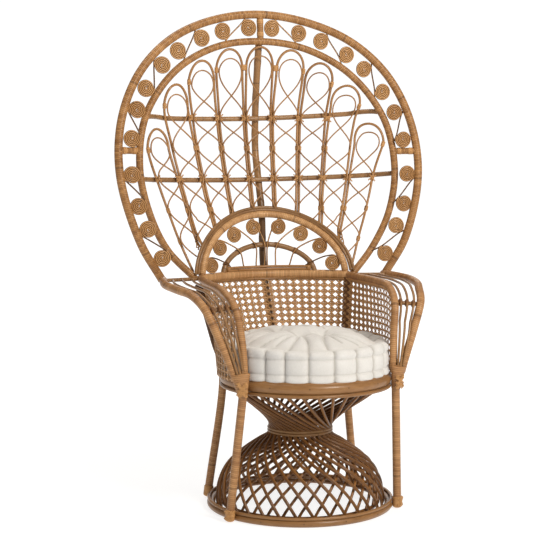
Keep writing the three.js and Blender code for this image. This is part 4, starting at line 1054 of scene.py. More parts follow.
@dataclass
class Fan:
    """Nine arches whose legs run down in pairs, a thin loop crossing in each, two cross rails and a centre post."""

    hoops: Hoops
    cells: int = 9
    pitch_share: float = 0.1916
    span_share: float = 0.5
    spread: float = 0.323
    bow: float = 0.0985
    rail_share: float = 0.3682
    lash_share: float = 0.117
    edge_foot_rise: float = 20
    rim_outside: float = 24.4
    cad_arch_rod: float = 9.6
    arch_rod: float = 8.2
    loop_rod: float = 4.9
    beside: float = 4.15
    peel: float = 1.2
    spring_drop: float = 4
    clear_low: float = 18
    clear_high: float = 20
    alone_above: float = 12
    arch_rise: float = 62
    arch_spread: float = 5
    loop_drop: float = 27
    loop_widest_drop: float = 72
    loop_width: float = 0.82
    loop_step: float = 9
    rail_pole: float = 16
    post_pole: float = 22.5
    post_bow: float = 12
    knot_pitch: int = 14
    knot_width: float = 1.3
    knot_swell: float = 0.09
    top_shares: tuple = (0.6206, 0.8076, 0.9106, 0.9634, 0.977, 0.9648, 0.9106, 0.8144, 0.6496)
    rail_ends: tuple = ((5, 19), (-1, 23))

    def __post_init__(self) -> None:
        """Works out the heights that the other sizes hang on."""
        self.pitch = FORM.inner_half * self.pitch_share
        self.span = FORM.rise * self.span_share
        self.rail_height = FORM.sill_height + FORM.rise * self.rail_share
        self.lash_pitch = FORM.rise * self.lash_share
        self.edge_foot = FORM.sill_height + self.edge_foot_rise
        self.levels = [self.rail_height + (2 - k) * self.lash_pitch for k in range(6)]
        self.rail_depth = (self.cad_arch_rod + self.rail_pole) / 2 + 4 * AIR
        self.tops = [FORM.sill_height + (FORM.rise - FORM.inner_drop) * share for share in self.top_shares]

    def line(self, count: Number, z: Array) -> Array:
        """How far aside a pair's line is at a height: cells counted times the pitch, widening upwards."""
        up = (np.asarray(z, float) - self.rail_height) / self.span
        return count * self.pitch * (1 + self.spread * up - self.bow * up**2)

    def on(self, x: Array, z: Array, depth: Number = 0.0) -> Array:
        """Places on the fan's surface, or behind it by depth."""
        return FORM.on(FORM.fan, x, z, depth)

    def edging(self, x: Array) -> Array:
        """Height of the half-round's edging."""
        return FORM.ellipse(x, FORM.rim_half + self.rim_outside, FORM.rim_rise + self.rim_outside)

    def foot(self, count: float) -> float:
        """Height at which a pair's line meets the half-round's edging, or the edge's foot where it passes it."""
        heights = np.linspace(self.edge_foot, FORM.sill_height + FORM.rim_rise + self.rim_outside, 400)
        inside = heights < self.edging(self.line(count, heights))
        return float(heights[inside][-1]) - 4 if inside.any() else self.edge_foot

    def aside(self, cell: float, z: Array, low: float, high: float) -> Array:
        """The small shift outwards of an arch's upper part."""
        return np.sign(cell) * self.arch_spread * ease(z, low, high)

    def arch(self, cell: float, top: float) -> Array:
        """An arch's route: up the left line, half an ellipse over, and down the right line."""
        spring = top - self.arch_rise

        def leg(way: int, z: Array) -> Array:
            """How far aside a leg is at a height."""
            shift = self.aside(cell, z, spring - 2 * self.arch_rise, spring)
            return self.line(cell + way / 2, z) - way * self.beside + shift

        left_z = np.linspace(self.foot(cell - 0.5), spring, 40)
        right_z = np.linspace(spring, self.foot(cell + 0.5), 40)
        ends = leg(-1, np.array(spring)), leg(1, np.array(spring))
        middle, half = (ends[0] + ends[1]) / 2, (ends[1] - ends[0]) / 2
        angle = np.linspace(-np.pi / 2, np.pi / 2, 34)[1:-1]
        x = np.concatenate([leg(-1, left_z), middle + half * np.sin(angle), leg(1, right_z)])
        z = np.concatenate([left_z, spring + self.arch_rise * np.cos(angle), right_z])
        return self.on(x, z)

    def loop(self, cell: float, top: float) -> Array:
        """A loop's route: its legs swing from one side of the cell to the other between lashings, one behind one."""
        peak, widest = top - self.loop_drop, top - self.loop_widest_drop
        levels = np.array([widest, *[z for z in self.levels if z < widest - self.lash_pitch / 2]])
        steps = np.arange(len(levels))
        last = (levels[-2] - levels[-1], levels[-1])
        nearer = -(self.arch_rod + self.loop_rod) / 2
        farther = nearer - self.loop_rod
        side = (self.loop_rod + AIR) / 2

        def crossings(z: Array) -> Array:
            """Half swings made from the widest place down to a height."""
            inside = np.interp(-z, -levels, steps)
            return inside + np.maximum(0, last[1] - z) / last[0]

        def place(z: Array, lateral: Array, depth: Array) -> Array:
            """A place across the cell, from -1 at its left line to 1 at its right."""
            left, right = self.line(cell - 0.5, z) + side, self.line(cell + 0.5, z) - side
            shift = self.aside(cell, z, top - 3 * self.arch_rise, top - self.arch_rise)
            return self.on(blend(left, right, (1 + lateral) / 2) + shift, z, depth)

        def leg(way: int) -> tuple[Array, Array]:
            """Heights and lateral swings of a leg, down to where it meets the edging."""
            z = np.linspace(widest, self.edge_foot + 20, 260)
            swing = way * np.cos(np.pi * crossings(z))
            x = blend(self.line(cell - 0.5, z), self.line(cell + 0.5, z), (1 + swing) / 2)
            kept = np.cumprod(z > self.edging(x) - 5).astype(bool)
            z, swing = z[kept], swing[kept]
            down = (widest - z) / max(widest - z[-1], 1)
            return z, swing * blend(self.loop_width, 1, ease(down, 0, 0.3))

        (left_z, left_swing), (right_z, right_swing) = leg(-1), leg(1)
        angle = np.linspace(-np.pi / 2, np.pi / 2, 30)[1:-1]
        over_z = widest + (peak - widest) * np.cos(angle)
        z = np.concatenate([left_z[::-1], over_z, right_z])
        lateral = np.concatenate([left_swing[::-1], self.loop_width * np.sin(angle), right_swing])
        turning = blend(nearer, farther, ease(np.sin(angle), -1, 1))
        depth = np.concatenate([np.full(len(left_z), nearer), turning, np.full(len(right_z), farther)])
        route = Line(place(z, lateral, depth))
        return route.cut(0, 1, max(60, int(route.length / self.loop_step)))

    def rail(self, height: float, ends: tuple[float, float]) -> Line:
        """A cross rail behind the arches, its ends run forward into the inner hoop."""
        inner = self.hoops.inner
        left, right = (
            inner.at(inner.share_at_height(height + rise, side)) for rise, side in zip(ends, (-1, 1), strict=True)
        )
        share = np.linspace(0, 1, 90)
        x = blend(left[0], right[0], share)
        from_end = np.minimum(share, 1 - share) * (right[0] - left[0])
        depth = self.rail_depth * ease(from_end, -self.hoops.inner_pole, self.hoops.inner_pole)
        middle = 2 * share - 1
        z = height + (ends[1] - ends[0]) / 2 * middle + (ends[1] + ends[0]) / 2 * middle**2
        return Line(self.on(x, z, depth))

    def post_route(self) -> Array:
        """The post, from the inner hoop's top down behind the rails, the half-round and the sill."""
        upper, lower = self.levels[0], self.levels[2]
        behind = self.rail_depth + (self.rail_pole + self.post_pole) / 2 + AIR
        behind_rim = (HalfRound.rim_pole + self.post_pole) / 2 + AIR
        foot_y = CaneWall.foot_radius() + (CaneWall.thickness + self.post_pole) / 2 + AIR - Pedestal.seat_forward
        zero = np.array(0.0)
        stations = (
            (FORM.sill_height + FORM.rise - FORM.inner_drop, 17.0), (upper + self.lash_pitch, behind * 0.85),
            (upper, behind), (lower + self.lash_pitch, behind + self.post_bow), (lower, behind),
            (FORM.sill_height + FORM.rim_rise, behind_rim), (FORM.sill_height + 24, behind_rim),
        )
        points = [self.on(zero, np.array(z), depth) for z, depth in stations]
        seat_low = Pedestal.seat_top - Pedestal.seat_ring_height
        points += [np.array([0, foot_y, height]) for height in ((Pedestal.seat_top + seat_low) / 2, seat_low)]
        return Line(spline(points)).cut(0.006, 1, 130)

    def build(self) -> None:
        """Makes the arches, loops, rails, post and all their lashings."""
        arches, loops, rails, post = Strands(), Strands(), Strands(), Strands()
        cells = np.arange(self.cells) - (self.cells - 1) / 2
        for cell, top in zip(cells, self.tops, strict=True):
            arches.rod(self.arch(cell, top), self.arch_rod / 2, 8)
            loops.rod(self.loop(cell, top), self.loop_rod / 2, 6)
        self.rails = [self.rail(self.levels[2], self.rail_ends[0]), self.rail(self.levels[0], self.rail_ends[1])]
        for route in self.rails:
            rails.rod(route.cut(0.01, 0.99, 70), self.rail_pole / 2, 12)
        route = self.post_route()
        from_knot = np.arange(len(route)) % self.knot_pitch - self.knot_pitch / 2
        knots = 1 + self.knot_swell * np.exp(-((from_knot / self.knot_width) ** 2))
        post.rod(route, self.post_pole / 2 * knots, 12)
        numbers = range(1, self.cells + 1)
        hand_in("fan_arches", arches, Finish.FAN_ROD, Slot.CORE, [f"fan_arch_{k}" for k in numbers])
        hand_in("fan_loops", loops, Finish.FAN_ROD, Slot.CORE, [f"fan_loop_{k}" for k in numbers])
        hand_in("fan_cross_rails", rails, Finish.POLE, Slot.POLE, ["cross_rail_lower", "cross_rail_upper"])
        hand_in("back_post_knotted", post, Finish.DARK_POLE, Slot.POLE, ["back_post"])
        self.build_lashings(cells)

    def build_lashings(self, cells: Array) -> None:
        """Winds peel round each pair of legs where the arches spring and at every crossing of the loops."""
        wound, crossed, marks = Strands(), Strands(), Strands()
        rails = {self.levels[2]: self.rails[0], self.levels[0]: self.rails[1]}
        for k in range(self.cells + 1):
            count = k - self.cells / 2
            tops = [self.tops[j] for j in (k - 1, k) if 0 <= j < self.cells]
            taller = np.sign(count) * (-1 if len(tops) > 1 else 1)
            spring = max(tops) - self.arch_rise - self.spring_drop
            low, high = self.foot(count) + self.clear_low, min(tops) - self.arch_rise
            levels = [spring] + [z for z in self.levels if low < z < high - self.clear_high]
            for n, z in enumerate(levels):
                at = np.array(z)
                alone = len(tops) < 2 or z > high + self.alone_above
                aside = taller * self.beside if alone and len(tops) > 1 else 0
                aside = -taller * self.beside if len(tops) < 2 else aside
                x = self.line(count, at) + np.sign(count) * (self.arch_spread if n == 0 else 0) + aside
                centre = self.on(x, at, -1.5)
                step = np.subtract(*(self.on(self.line(count, at + up), at + up) for up in (5, -5)))
                normal = FORM.normal(FORM.fan, x, at)
                across = np.cross(step, normal)
                half = self.arch_rod / 2 + (0 if alone else self.beside) + self.peel
                wound.coil(centre, step, across, half + 0.4, 5.6, length=16 if n == 0 else 14, turns=5)
                if z in rails:
                    crossed.cross(centre - normal * 4.6, -normal, step, half + 6, 10, lift=3.4, strip=1.1)
                    line = rails[z].points
                    for way in (-1, 1):
                        beside = x + way * (half + 3.5)
                        spot = spots(*[np.interp(beside, line[:, 0], line[:, axis]) for axis in range(3)])
                        marks.coil(spot, across, normal, 7.6, 7.6, length=6, turns=2, strip=0.7)
        hand_in("fan_windings", wound, Finish.LASHING, Slot.WRAPPED)
        hand_in("fan_rail_lashings", crossed, Finish.LASHING, Slot.WRAPPED)
        hand_in("fan_rail_turns", marks, Finish.DARK_LASHING, Slot.WRAPPED)


@dataclass
class HalfRound:
    """The half-round over the sill: rim, edging rods, small arch, eight scrolls with long tails, sill and its bar."""

    rim_pole: float = 22
    edging_rod: float = 10
    edging_first: float = 14.1
    edging_pitch: float = 7.8
    edging_back: float = 2.8
    arch_half: float = 152
    arch_rise: float = 94
    arch_pole: float = 17
    scroll: float = 51
    scroll_swell: float = 3.6
    scroll_rod: float = 5.3
    link_rod: float = 4.9
    scroll_forward: float = 9
    scroll_first: float = 11.9
    scroll_step: float = 21.7
    settling: int = 3
    scroll_turns: float = 4.6
    scroll_depth: float = 3.2
    scroll_eye: float = 0.45
    sill_pole: float = 24
    sill_half_high: float = 13.5
    bar_rod: float = 8
    tail_rise: float = 1.9
    bar_half: float = 137
    crossings: tuple = (0.035, 0.245, 0.626, 0.925)
    tails: tuple = (1, 0.87, 0.81, 0.9)

    def curve(self, half: float, rise: float, depth: float, end: float = np.pi / 2, count: int = 70) -> Array:
        """A half ellipse on the panel, or behind it by depth."""
        angle = np.linspace(-end, end, count)
        x, z = half * np.sin(angle), FORM.sill_height + rise * np.cos(angle)
        return spots(x, FORM.panel(x, z), z) + depth * FORM.normal(FORM.back, x, z)

    def build(self) -> None:
        """Makes every piece of the half-round."""
        rim, edging, arch, sill, bar = (Strands() for _ in range(5))
        rim_line = Line(self.curve(FORM.rim_half, FORM.rim_rise, 0))
        rim.rod(rim_line.cut(0.02, 0.98, 90), self.rim_pole / 2, 16, tone=0.6)
        for k in range(2):
            out = self.edging_first + k * self.edging_pitch
            line = self.curve(FORM.rim_half + out, FORM.rim_rise + out, (k + 1) * self.edging_back, end=1.5, count=90)
            edging.rod(line, self.edging_rod / 2, 8, tone=0.25 + 0.3 * k)
        arch.rod(self.curve(self.arch_half, self.arch_rise, 0), self.arch_pole / 2, 12)
        x = np.linspace(-FORM.sill_half, FORM.sill_half, 70)
        at_sill = np.full_like(x, FORM.sill_height)
        sill_route = spots(x, FORM.panel(x, at_sill), at_sill)
        sill.rod(sill_route, self.sill_pole / 2, 16, self.sill_half_high, UP, tone=0.55)
        self.sill_line = Line(sill_route)
        self.build_bar(bar, edging)
        hand_in("half_round_rim_wrapped", rim, Finish.RIM_WRAPPED, Slot.WRAPPED, ["half_round_rim"])
        hand_in("half_round_edging", edging, Finish.POLE, Slot.POLE)
        hand_in("half_round_arch", arch, Finish.POLE, Slot.WRAPPED, ["half_round_fretwork"])
        hand_in("sill_wrapped", sill, Finish.RIM_WRAPPED, Slot.WRAPPED, ["back_sill"])
        hand_in("sill_bar", bar, Finish.FAN_ROD, Slot.POLE)
        self.build_scrolls(rim_line)

    def build_bar(self, bar: Strands, edging: Strands) -> None:
        """Lays the double rod on the sill and a thin bead under it.

        Args:
            bar: Takes the double rod.
            edging: Takes the bead.
        """
        x = np.linspace(-self.bar_half, self.bar_half, 40)
        height = FORM.sill_height + self.sill_pole / 2 + self.bar_rod / 2 - 0.5
        for depth, lift in ((-5, 0), (4, 0), (-5.5, 8.3), (3, 8.3)):
            route = FORM.on(FORM.panel, x, np.full_like(x, height + lift), depth)
            bar.rod(route, self.bar_rod / 2, 8)
        for side, _ in SIDES:
            end = FORM.on(FORM.panel, np.array(side * (self.bar_half - 2)), np.array(height + 4), -0.5)
            bar.coil(end, (1, -0.35 * side, 0), UP, 9.5, 10.5, length=9, turns=3)
        x = np.linspace(-FORM.sill_half + 8, FORM.sill_half - 8, 60)
        route = FORM.on(FORM.panel, x, np.full_like(x, FORM.sill_height - self.sill_pole / 2 - 3.2), -5.5)
        edging.rod(route, 3.4, 8)

    def build_scrolls(self, rim_line: Line) -> None:
        """Makes the scrolls under the rim: each a spiral whose rod swings over, crosses the small arch and goes down.

        Args:
            rim_line: The rim's middle line.
        """
        scrolls, windings = Strands(), Strands()
        half = self.scroll_rod / 2
        lift = -(self.arch_pole + self.scroll_rod) / 2 + AIR
        bar_height = FORM.sill_height + self.sill_pole / 2 + self.tail_rise * self.bar_rod
        for side, _ in SIDES:
            for k, (crossing, tail) in enumerate(zip(self.crossings, self.tails, strict=True)):
                inset = (self.rim_pole + self.scroll) / 2 + AIR
                angle = np.radians(self.scroll_first + k * self.scroll_step)
                x = side * (FORM.rim_half - inset) * np.sin(angle)
                z = FORM.sill_height + (FORM.rim_rise - inset) * np.cos(angle)
                centre = spots(x, FORM.panel(x, z), z)
                for _ in range(self.settling):
                    near = rim_line.nearest(centre)
                    centre = near + unit(centre - near) * (inset + AIR)
                centre = centre - np.array([0, self.scroll_forward, 0])
                front = -FORM.normal(FORM.back, centre[0], centre[2])
                cross_x = side * self.arch_half * crossing
                cross_z = float(FORM.ellipse(cross_x, self.arch_half, self.arch_rise))
                reach = (self.scroll + self.scroll_swell) / 2 - half
                top = centre + np.array([0, 0, reach])
                shoulder_x = (centre[0] * 2 + cross_x) / 3
                shoulder_z = blend(top[2], cross_z, 0.25)
                stations = (
                    (shoulder_x, shoulder_z, lift / 2),
                    (cross_x, cross_z, lift),
                    (cross_x * tail, bar_height, -half),
                )
                before = [FORM.on(FORM.panel, np.array(a), np.array(b), depth) for a, b, depth in stations]
                tone = float(scrolls.random.random())
                scrolls.rod(spline([top, *before], per_span=14), self.link_rod / 2, 7, tone=tone)
                leaving = unit(before[0] - top)
                route = spiral(centre, top, leaving, front, half * self.scroll_eye, self.scroll_turns)
                scrolls.rod(route, half, 8, self.scroll_depth, facing=front, tone=tone)
                joint = FORM.on(FORM.panel, np.array(cross_x), np.array(cross_z), 0)
                slope = unit(np.array([1, 0, -cross_x * self.arch_rise / self.arch_half**2 * 1.5]))
                over = self.arch_pole / 2 + 0.5
                windings.coil(joint, slope, front, over, over, length=13, turns=4)
        hand_in("half_round_scrolls", scrolls, Finish.SCROLL_ROD, Slot.CORE, ["half_round_fretwork"])
        hand_in("half_round_windings", windings, Finish.DARK_LASHING, Slot.WRAPPED)


@dataclass
class Arms:
    """Two arms, each of an inner and an outer rail that bend down to the leg's head, with spindles between."""

    inner_pole: float = 22
    outer_pole: float = 24
    spindle: float = 7.5
    bar: float = 12
    bar_share: float = 0.36
    slots: tuple = (0.25, 0.5, 0.75)
    arm_back: float = 216
    head_top: float = 443
    head_span: float = 36
    head_back: float = 13
    outer_foot_share: float = 0.749
    outer_end: float = 0.955
    inner_shares: tuple = (
        (0.034, -0.13, 0), (0.037, 0.02, 0), (0.06, 0.4, 0.04), (0.11, 0.76, 0.13), (0.3, 0.95, 0.24),
        (0.58, 0.985, 0.26), (0.84, 0.99, 0.2), (1.042, 1, 0.123),
    )
    outer_shares: tuple = (
        (0.034, -0.13, -0.09), (0.042, 0.02, 0), (0.075, 0.4, 0.27), (0.135, 0.76, 0.54), (0.29, 0.915, 0.72),
        (0.44, 0.955, 0.89), (0.7, 0.985, 1), (0.98, 1, 0.84), (1.04, 1, 0.8),
    )

    def rail(self, shares: Sequence, start: Array, side: int) -> Line:
        """A rail through shares of the arm's reach, rise and flare."""
        back, rise, flare = np.asarray(shares, float).T
        head = Legs.head_centre()
        flare_width = FORM.hoop_half * self.outer_foot_share - FORM.sill_half
        places = spots(
            start[0] + flare_width * flare,
            head[1] + (self.arm_back - head[1]) * back,
            self.head_top + (FORM.sill_height - self.head_top) * rise,
        )
        return Line(spline(mirrored(places, side)))

    def __post_init__(self) -> None:
        """Works out the rails' routes."""
        head = Legs.head_centre()
        outer_head = head + np.array([self.head_span, self.head_back, 0])
        self.inner = {side: self.rail(self.inner_shares, head, side) for side, _ in SIDES}
        self.outer = {side: self.rail(self.outer_shares, outer_head, side) for side, _ in SIDES}

    def spindle_places(self, side: int, slot: float, share: Array, lift: float = 1.0) -> Array:
        """A spindle's route: a quarter, half or three quarters of the way across, stood forward of both rails."""
        inner, outer = self.inner[side].at(share), self.outer[side].at(share * self.outer_end)
        between = outer - inner
        front = unit(side * np.cross(between, self.inner[side].heading(share)))
        need = (self.inner_pole + self.spindle) / 2 + AIR + self.outer_pole - self.inner_pole
        gap = np.linalg.norm(between, axis=-1, keepdims=True) / 4
        forward = np.sqrt(np.maximum(0, need**2 - gap**2))
        return inner + between * slot + lift * front * forward

    def build(self) -> None:
        """Makes the rails, spindles, cross bars and windings."""
        for side, word in SIDES:
            rails, rods, windings = Strands(), Strands(), Strands()
            rails.rod(self.inner[side].cut(0, 1, 90), self.inner_pole / 2, 16, tone=0.45)
            rails.rod(self.outer[side].cut(0, 1, 100), self.outer_pole / 2, 16, tone=0.6)
            share = np.linspace(0.01, 1, 70)
            for slot in self.slots:
                rods.rod(self.spindle_places(side, slot, share), self.spindle / 2, 8)
            self.build_bars(side, rods, windings)
            outside = self.outer[side].at(self.outer_end)
            rods.rod(Line([mirrored(FORM.sill_end, side), outside]).cut(0.04, 0.94, 12), self.bar / 2, 10)
            names = [f"arm_inner_rail_{word}", f"arm_outer_rail_{word}"]
            hand_in(f"arm_rails_{word}_wrapped", rails, Finish.WRAPPED, Slot.WRAPPED, names)
            hand_in(f"arm_spindles_{word}_rods", rods, Finish.POLE, Slot.POLE, [f"arm_spindles_{word}"])
            hand_in(f"arm_windings_{word}", windings, Finish.DARK_LASHING, Slot.WRAPPED)

    def build_bars(self, side: int, rods: Strands, windings: Strands) -> None:
        """Adds the bar behind the spindles at the front bend, with a winding at each crossing.

        Args:
            side: -1 for the left arm, 1 for the right.
            rods: Takes the bar.
            windings: Takes the windings.
        """
        share = self.bar_share
        inner, outer = self.inner[side].at(share), self.outer[side].at(share)
        crossing = {slot: self.spindle_places(side, slot, np.array([share]))[0] for slot in self.slots}
        along = self.inner[side].heading(share)
        inwards = unit(-side * np.cross(outer - inner, along))
        away = np.dot((inner + outer) / 2 - crossing[0.5], inwards)
        drop = inwards * ((self.spindle + self.bar) / 2 - AIR - away)
        rods.rod(Line([inner + drop, outer + drop]).cut(0.02, 0.98, 12), self.bar / 2, 10)
        for slot, place in crossing.items():
            spot = (place + inner + drop + (outer - inner) * slot) / 2
            windings.coil(spot, along, inwards, 9.5, 5.6, length=14, turns=4)


@dataclass
class CaneWall:
    """The woven wall round the seat: strips that run up, across and both ways aslant, between seat ring and rails."""

    arms: Arms
    sill_line: Line
    columns: int = 51
    rows: int = 14
    shift: float = 0.65
    edge_drop: float = 0.42
    upright_strip: float = 6.6
    level_strip: float = 6.0
    slant_strip: float = 4.3
    lacing_half: float = 0.0082
    post_strip: float = 1.6
    corner_strip: float = 2.6
    corner_swing: float = 1.1
    tuck: float = 5
    overlap: float = 14
    rail_shares: tuple = (0.36, 0.46, 0.56, 0.66, 0.76, 0.86, 0.96)
    sill_shares: tuple = (0.96, 0.845, 0.73, 0.615, 0.5, 0.385, 0.27, 0.155, 0.04)
    front: ClassVar[float] = np.radians(69.0)
    facets: ClassVar[int] = 13
    thickness: ClassVar[float] = 6.0

    @classmethod
    def foot_radius(cls) -> float:
        """Radius of the wall's foot, just outside the seat ring, whose CAD wall has flat facets."""
        facet = np.cos((np.pi - cls.front) / cls.facets)
        return float((Pedestal.seat_radius + AIR + cls.thickness / 2) / facet)

    def __post_init__(self) -> None:
        """Works out the wall's top and bottom lines."""
        right = self.arms.inner[1].at(np.array(self.rail_shares))
        sill = self.sill_line.at(np.array(self.sill_shares))
        points = np.concatenate([right, sill, mirrored(right[::-1], -1)]) - np.array([0, 0, self.tuck])
        self.top = Line(spline(points))
        angle = np.linspace(self.front, TURN - self.front, 300)
        height = Pedestal.seat_top - self.overlap
        self.bottom = Line(round_spots(self.foot_radius(), angle, height, Pedestal.seat_forward))

    def place(self, share: Array, rise: Array, out: Number) -> tuple[Array, Array]:
        """Places in the wall by share round it and share of its height, and the wall's outward normal there."""
        share = np.clip(share, 0, 1)
        low, high = self.bottom.at(share), self.top.at(share)
        outwards = unit(np.cross(self.bottom.heading(share), high - low))
        out = np.broadcast_to(np.asarray(out, float), share.shape)[..., None]
        return blend(low, high, np.asarray(rise, float)[..., None]) + outwards * out, outwards

    def lay(
        self,
        strands: Strands,
        share: Array,
        rise: Array,
        out: Number,
        half: float,
        thin: float = 0.55,
        sides: int = 4,
    ) -> None:
        """Adds one flat strip that follows shares round and up the wall, waving over and under by out.

        Args:
            strands: Takes the strip.
            share: Shares round the wall.
            rise: Shares up it, one or one per place.
            out: Millimetres out of it.
            half: Half the strip's width.
            thin: Half its thickness.
            sides: Faces round it.
        """
        places, outwards = self.place(share, np.broadcast_to(rise, share.shape), out)
        strands.rod(places, half, sides, thin, facing=outwards)

    def build(self) -> None:
        """Weaves the wall: upright and level strips half way between the holes, slant strips between them."""
        upright, slant = Strands(), Strands()
        lines = np.arange(0, self.rows + 2) - self.shift
        for k in range(self.columns + 1):
            share = np.full(2 * self.rows + 1, np.clip(k / self.columns, 0.001, 0.999))
            rise = np.linspace(0, 1, len(share))
            self.lay(upright, share, rise, 0.9, self.upright_strip / 2)
        share = np.linspace(0, 1, 3 * self.columns + 1)
        for row in lines[(lines > 0) & (lines < self.rows)]:
            self.lay(upright, share, row / self.rows, -0.3, self.level_strip / 2)
        for out in (-1.6, 1.6):
            self.lay(upright, share, 1 - self.edge_drop / self.rows, out, 4.2, 1.6, 6)
        for way in (-1, 1):
            for k in range(-self.rows - 1, self.columns + 1):
                step = np.linspace(0, self.rows, 3 * self.rows + 1)
                column = k + 0.5 + step + self.shift
                column = column if way > 0 else self.columns - column
                kept = (column > -0.01) & (column < self.columns + 0.01)
                if kept.sum() < 3:
                    continue
                wave = 0.6 * np.cos(np.pi * (step[kept] + k)) * way
                share, rise = column[kept] / self.columns, step[kept] / self.rows
                self.lay(slant, share, rise, wave - 1.1, self.slant_strip / 2)
        hand_in("cane_wall_strips", upright, Finish.CANE, Slot.CORE, ["cane_wall"])
        hand_in("cane_wall_slants", slant, Finish.CANE, Slot.CORE, ["cane_wall"])
        self.build_lacing()

    def build_lacing(self) -> None:
        """Laces the wall to the centre post and the corner posts with crossed strips, a diamond to a row of holes."""
        lacing, corners = Strands(), Strands()
        corner = Legs.corner_share(self)
        rise = np.linspace(0.01, 0.99, 12 * self.rows + 1)
        row = rise * self.rows + self.shift
        for way in (-1, 1):
            swing = self.lacing_half * way * (2 * np.abs((row + 0.5) % 2 - 1) - 1)
            self.lay(lacing, 0.5 + swing, rise, 0.4 * way - 3.2, self.post_strip, 0.5)
            for middle in (corner, 1 - corner):
                self.lay(corners, middle + self.corner_swing * swing, rise, 0.4 * way - 3, self.corner_strip, 0.5)
        hand_in("cane_post_lacing", lacing, Finish.LASHING, Slot.WRAPPED)
        # The corner lacing is lashing, but its dark finish is painted shade that darkens the wall's corners.
        hand_in("cane_corner_lacing", corners, Finish.DARK_LASHING, Slot.WRAPPED)


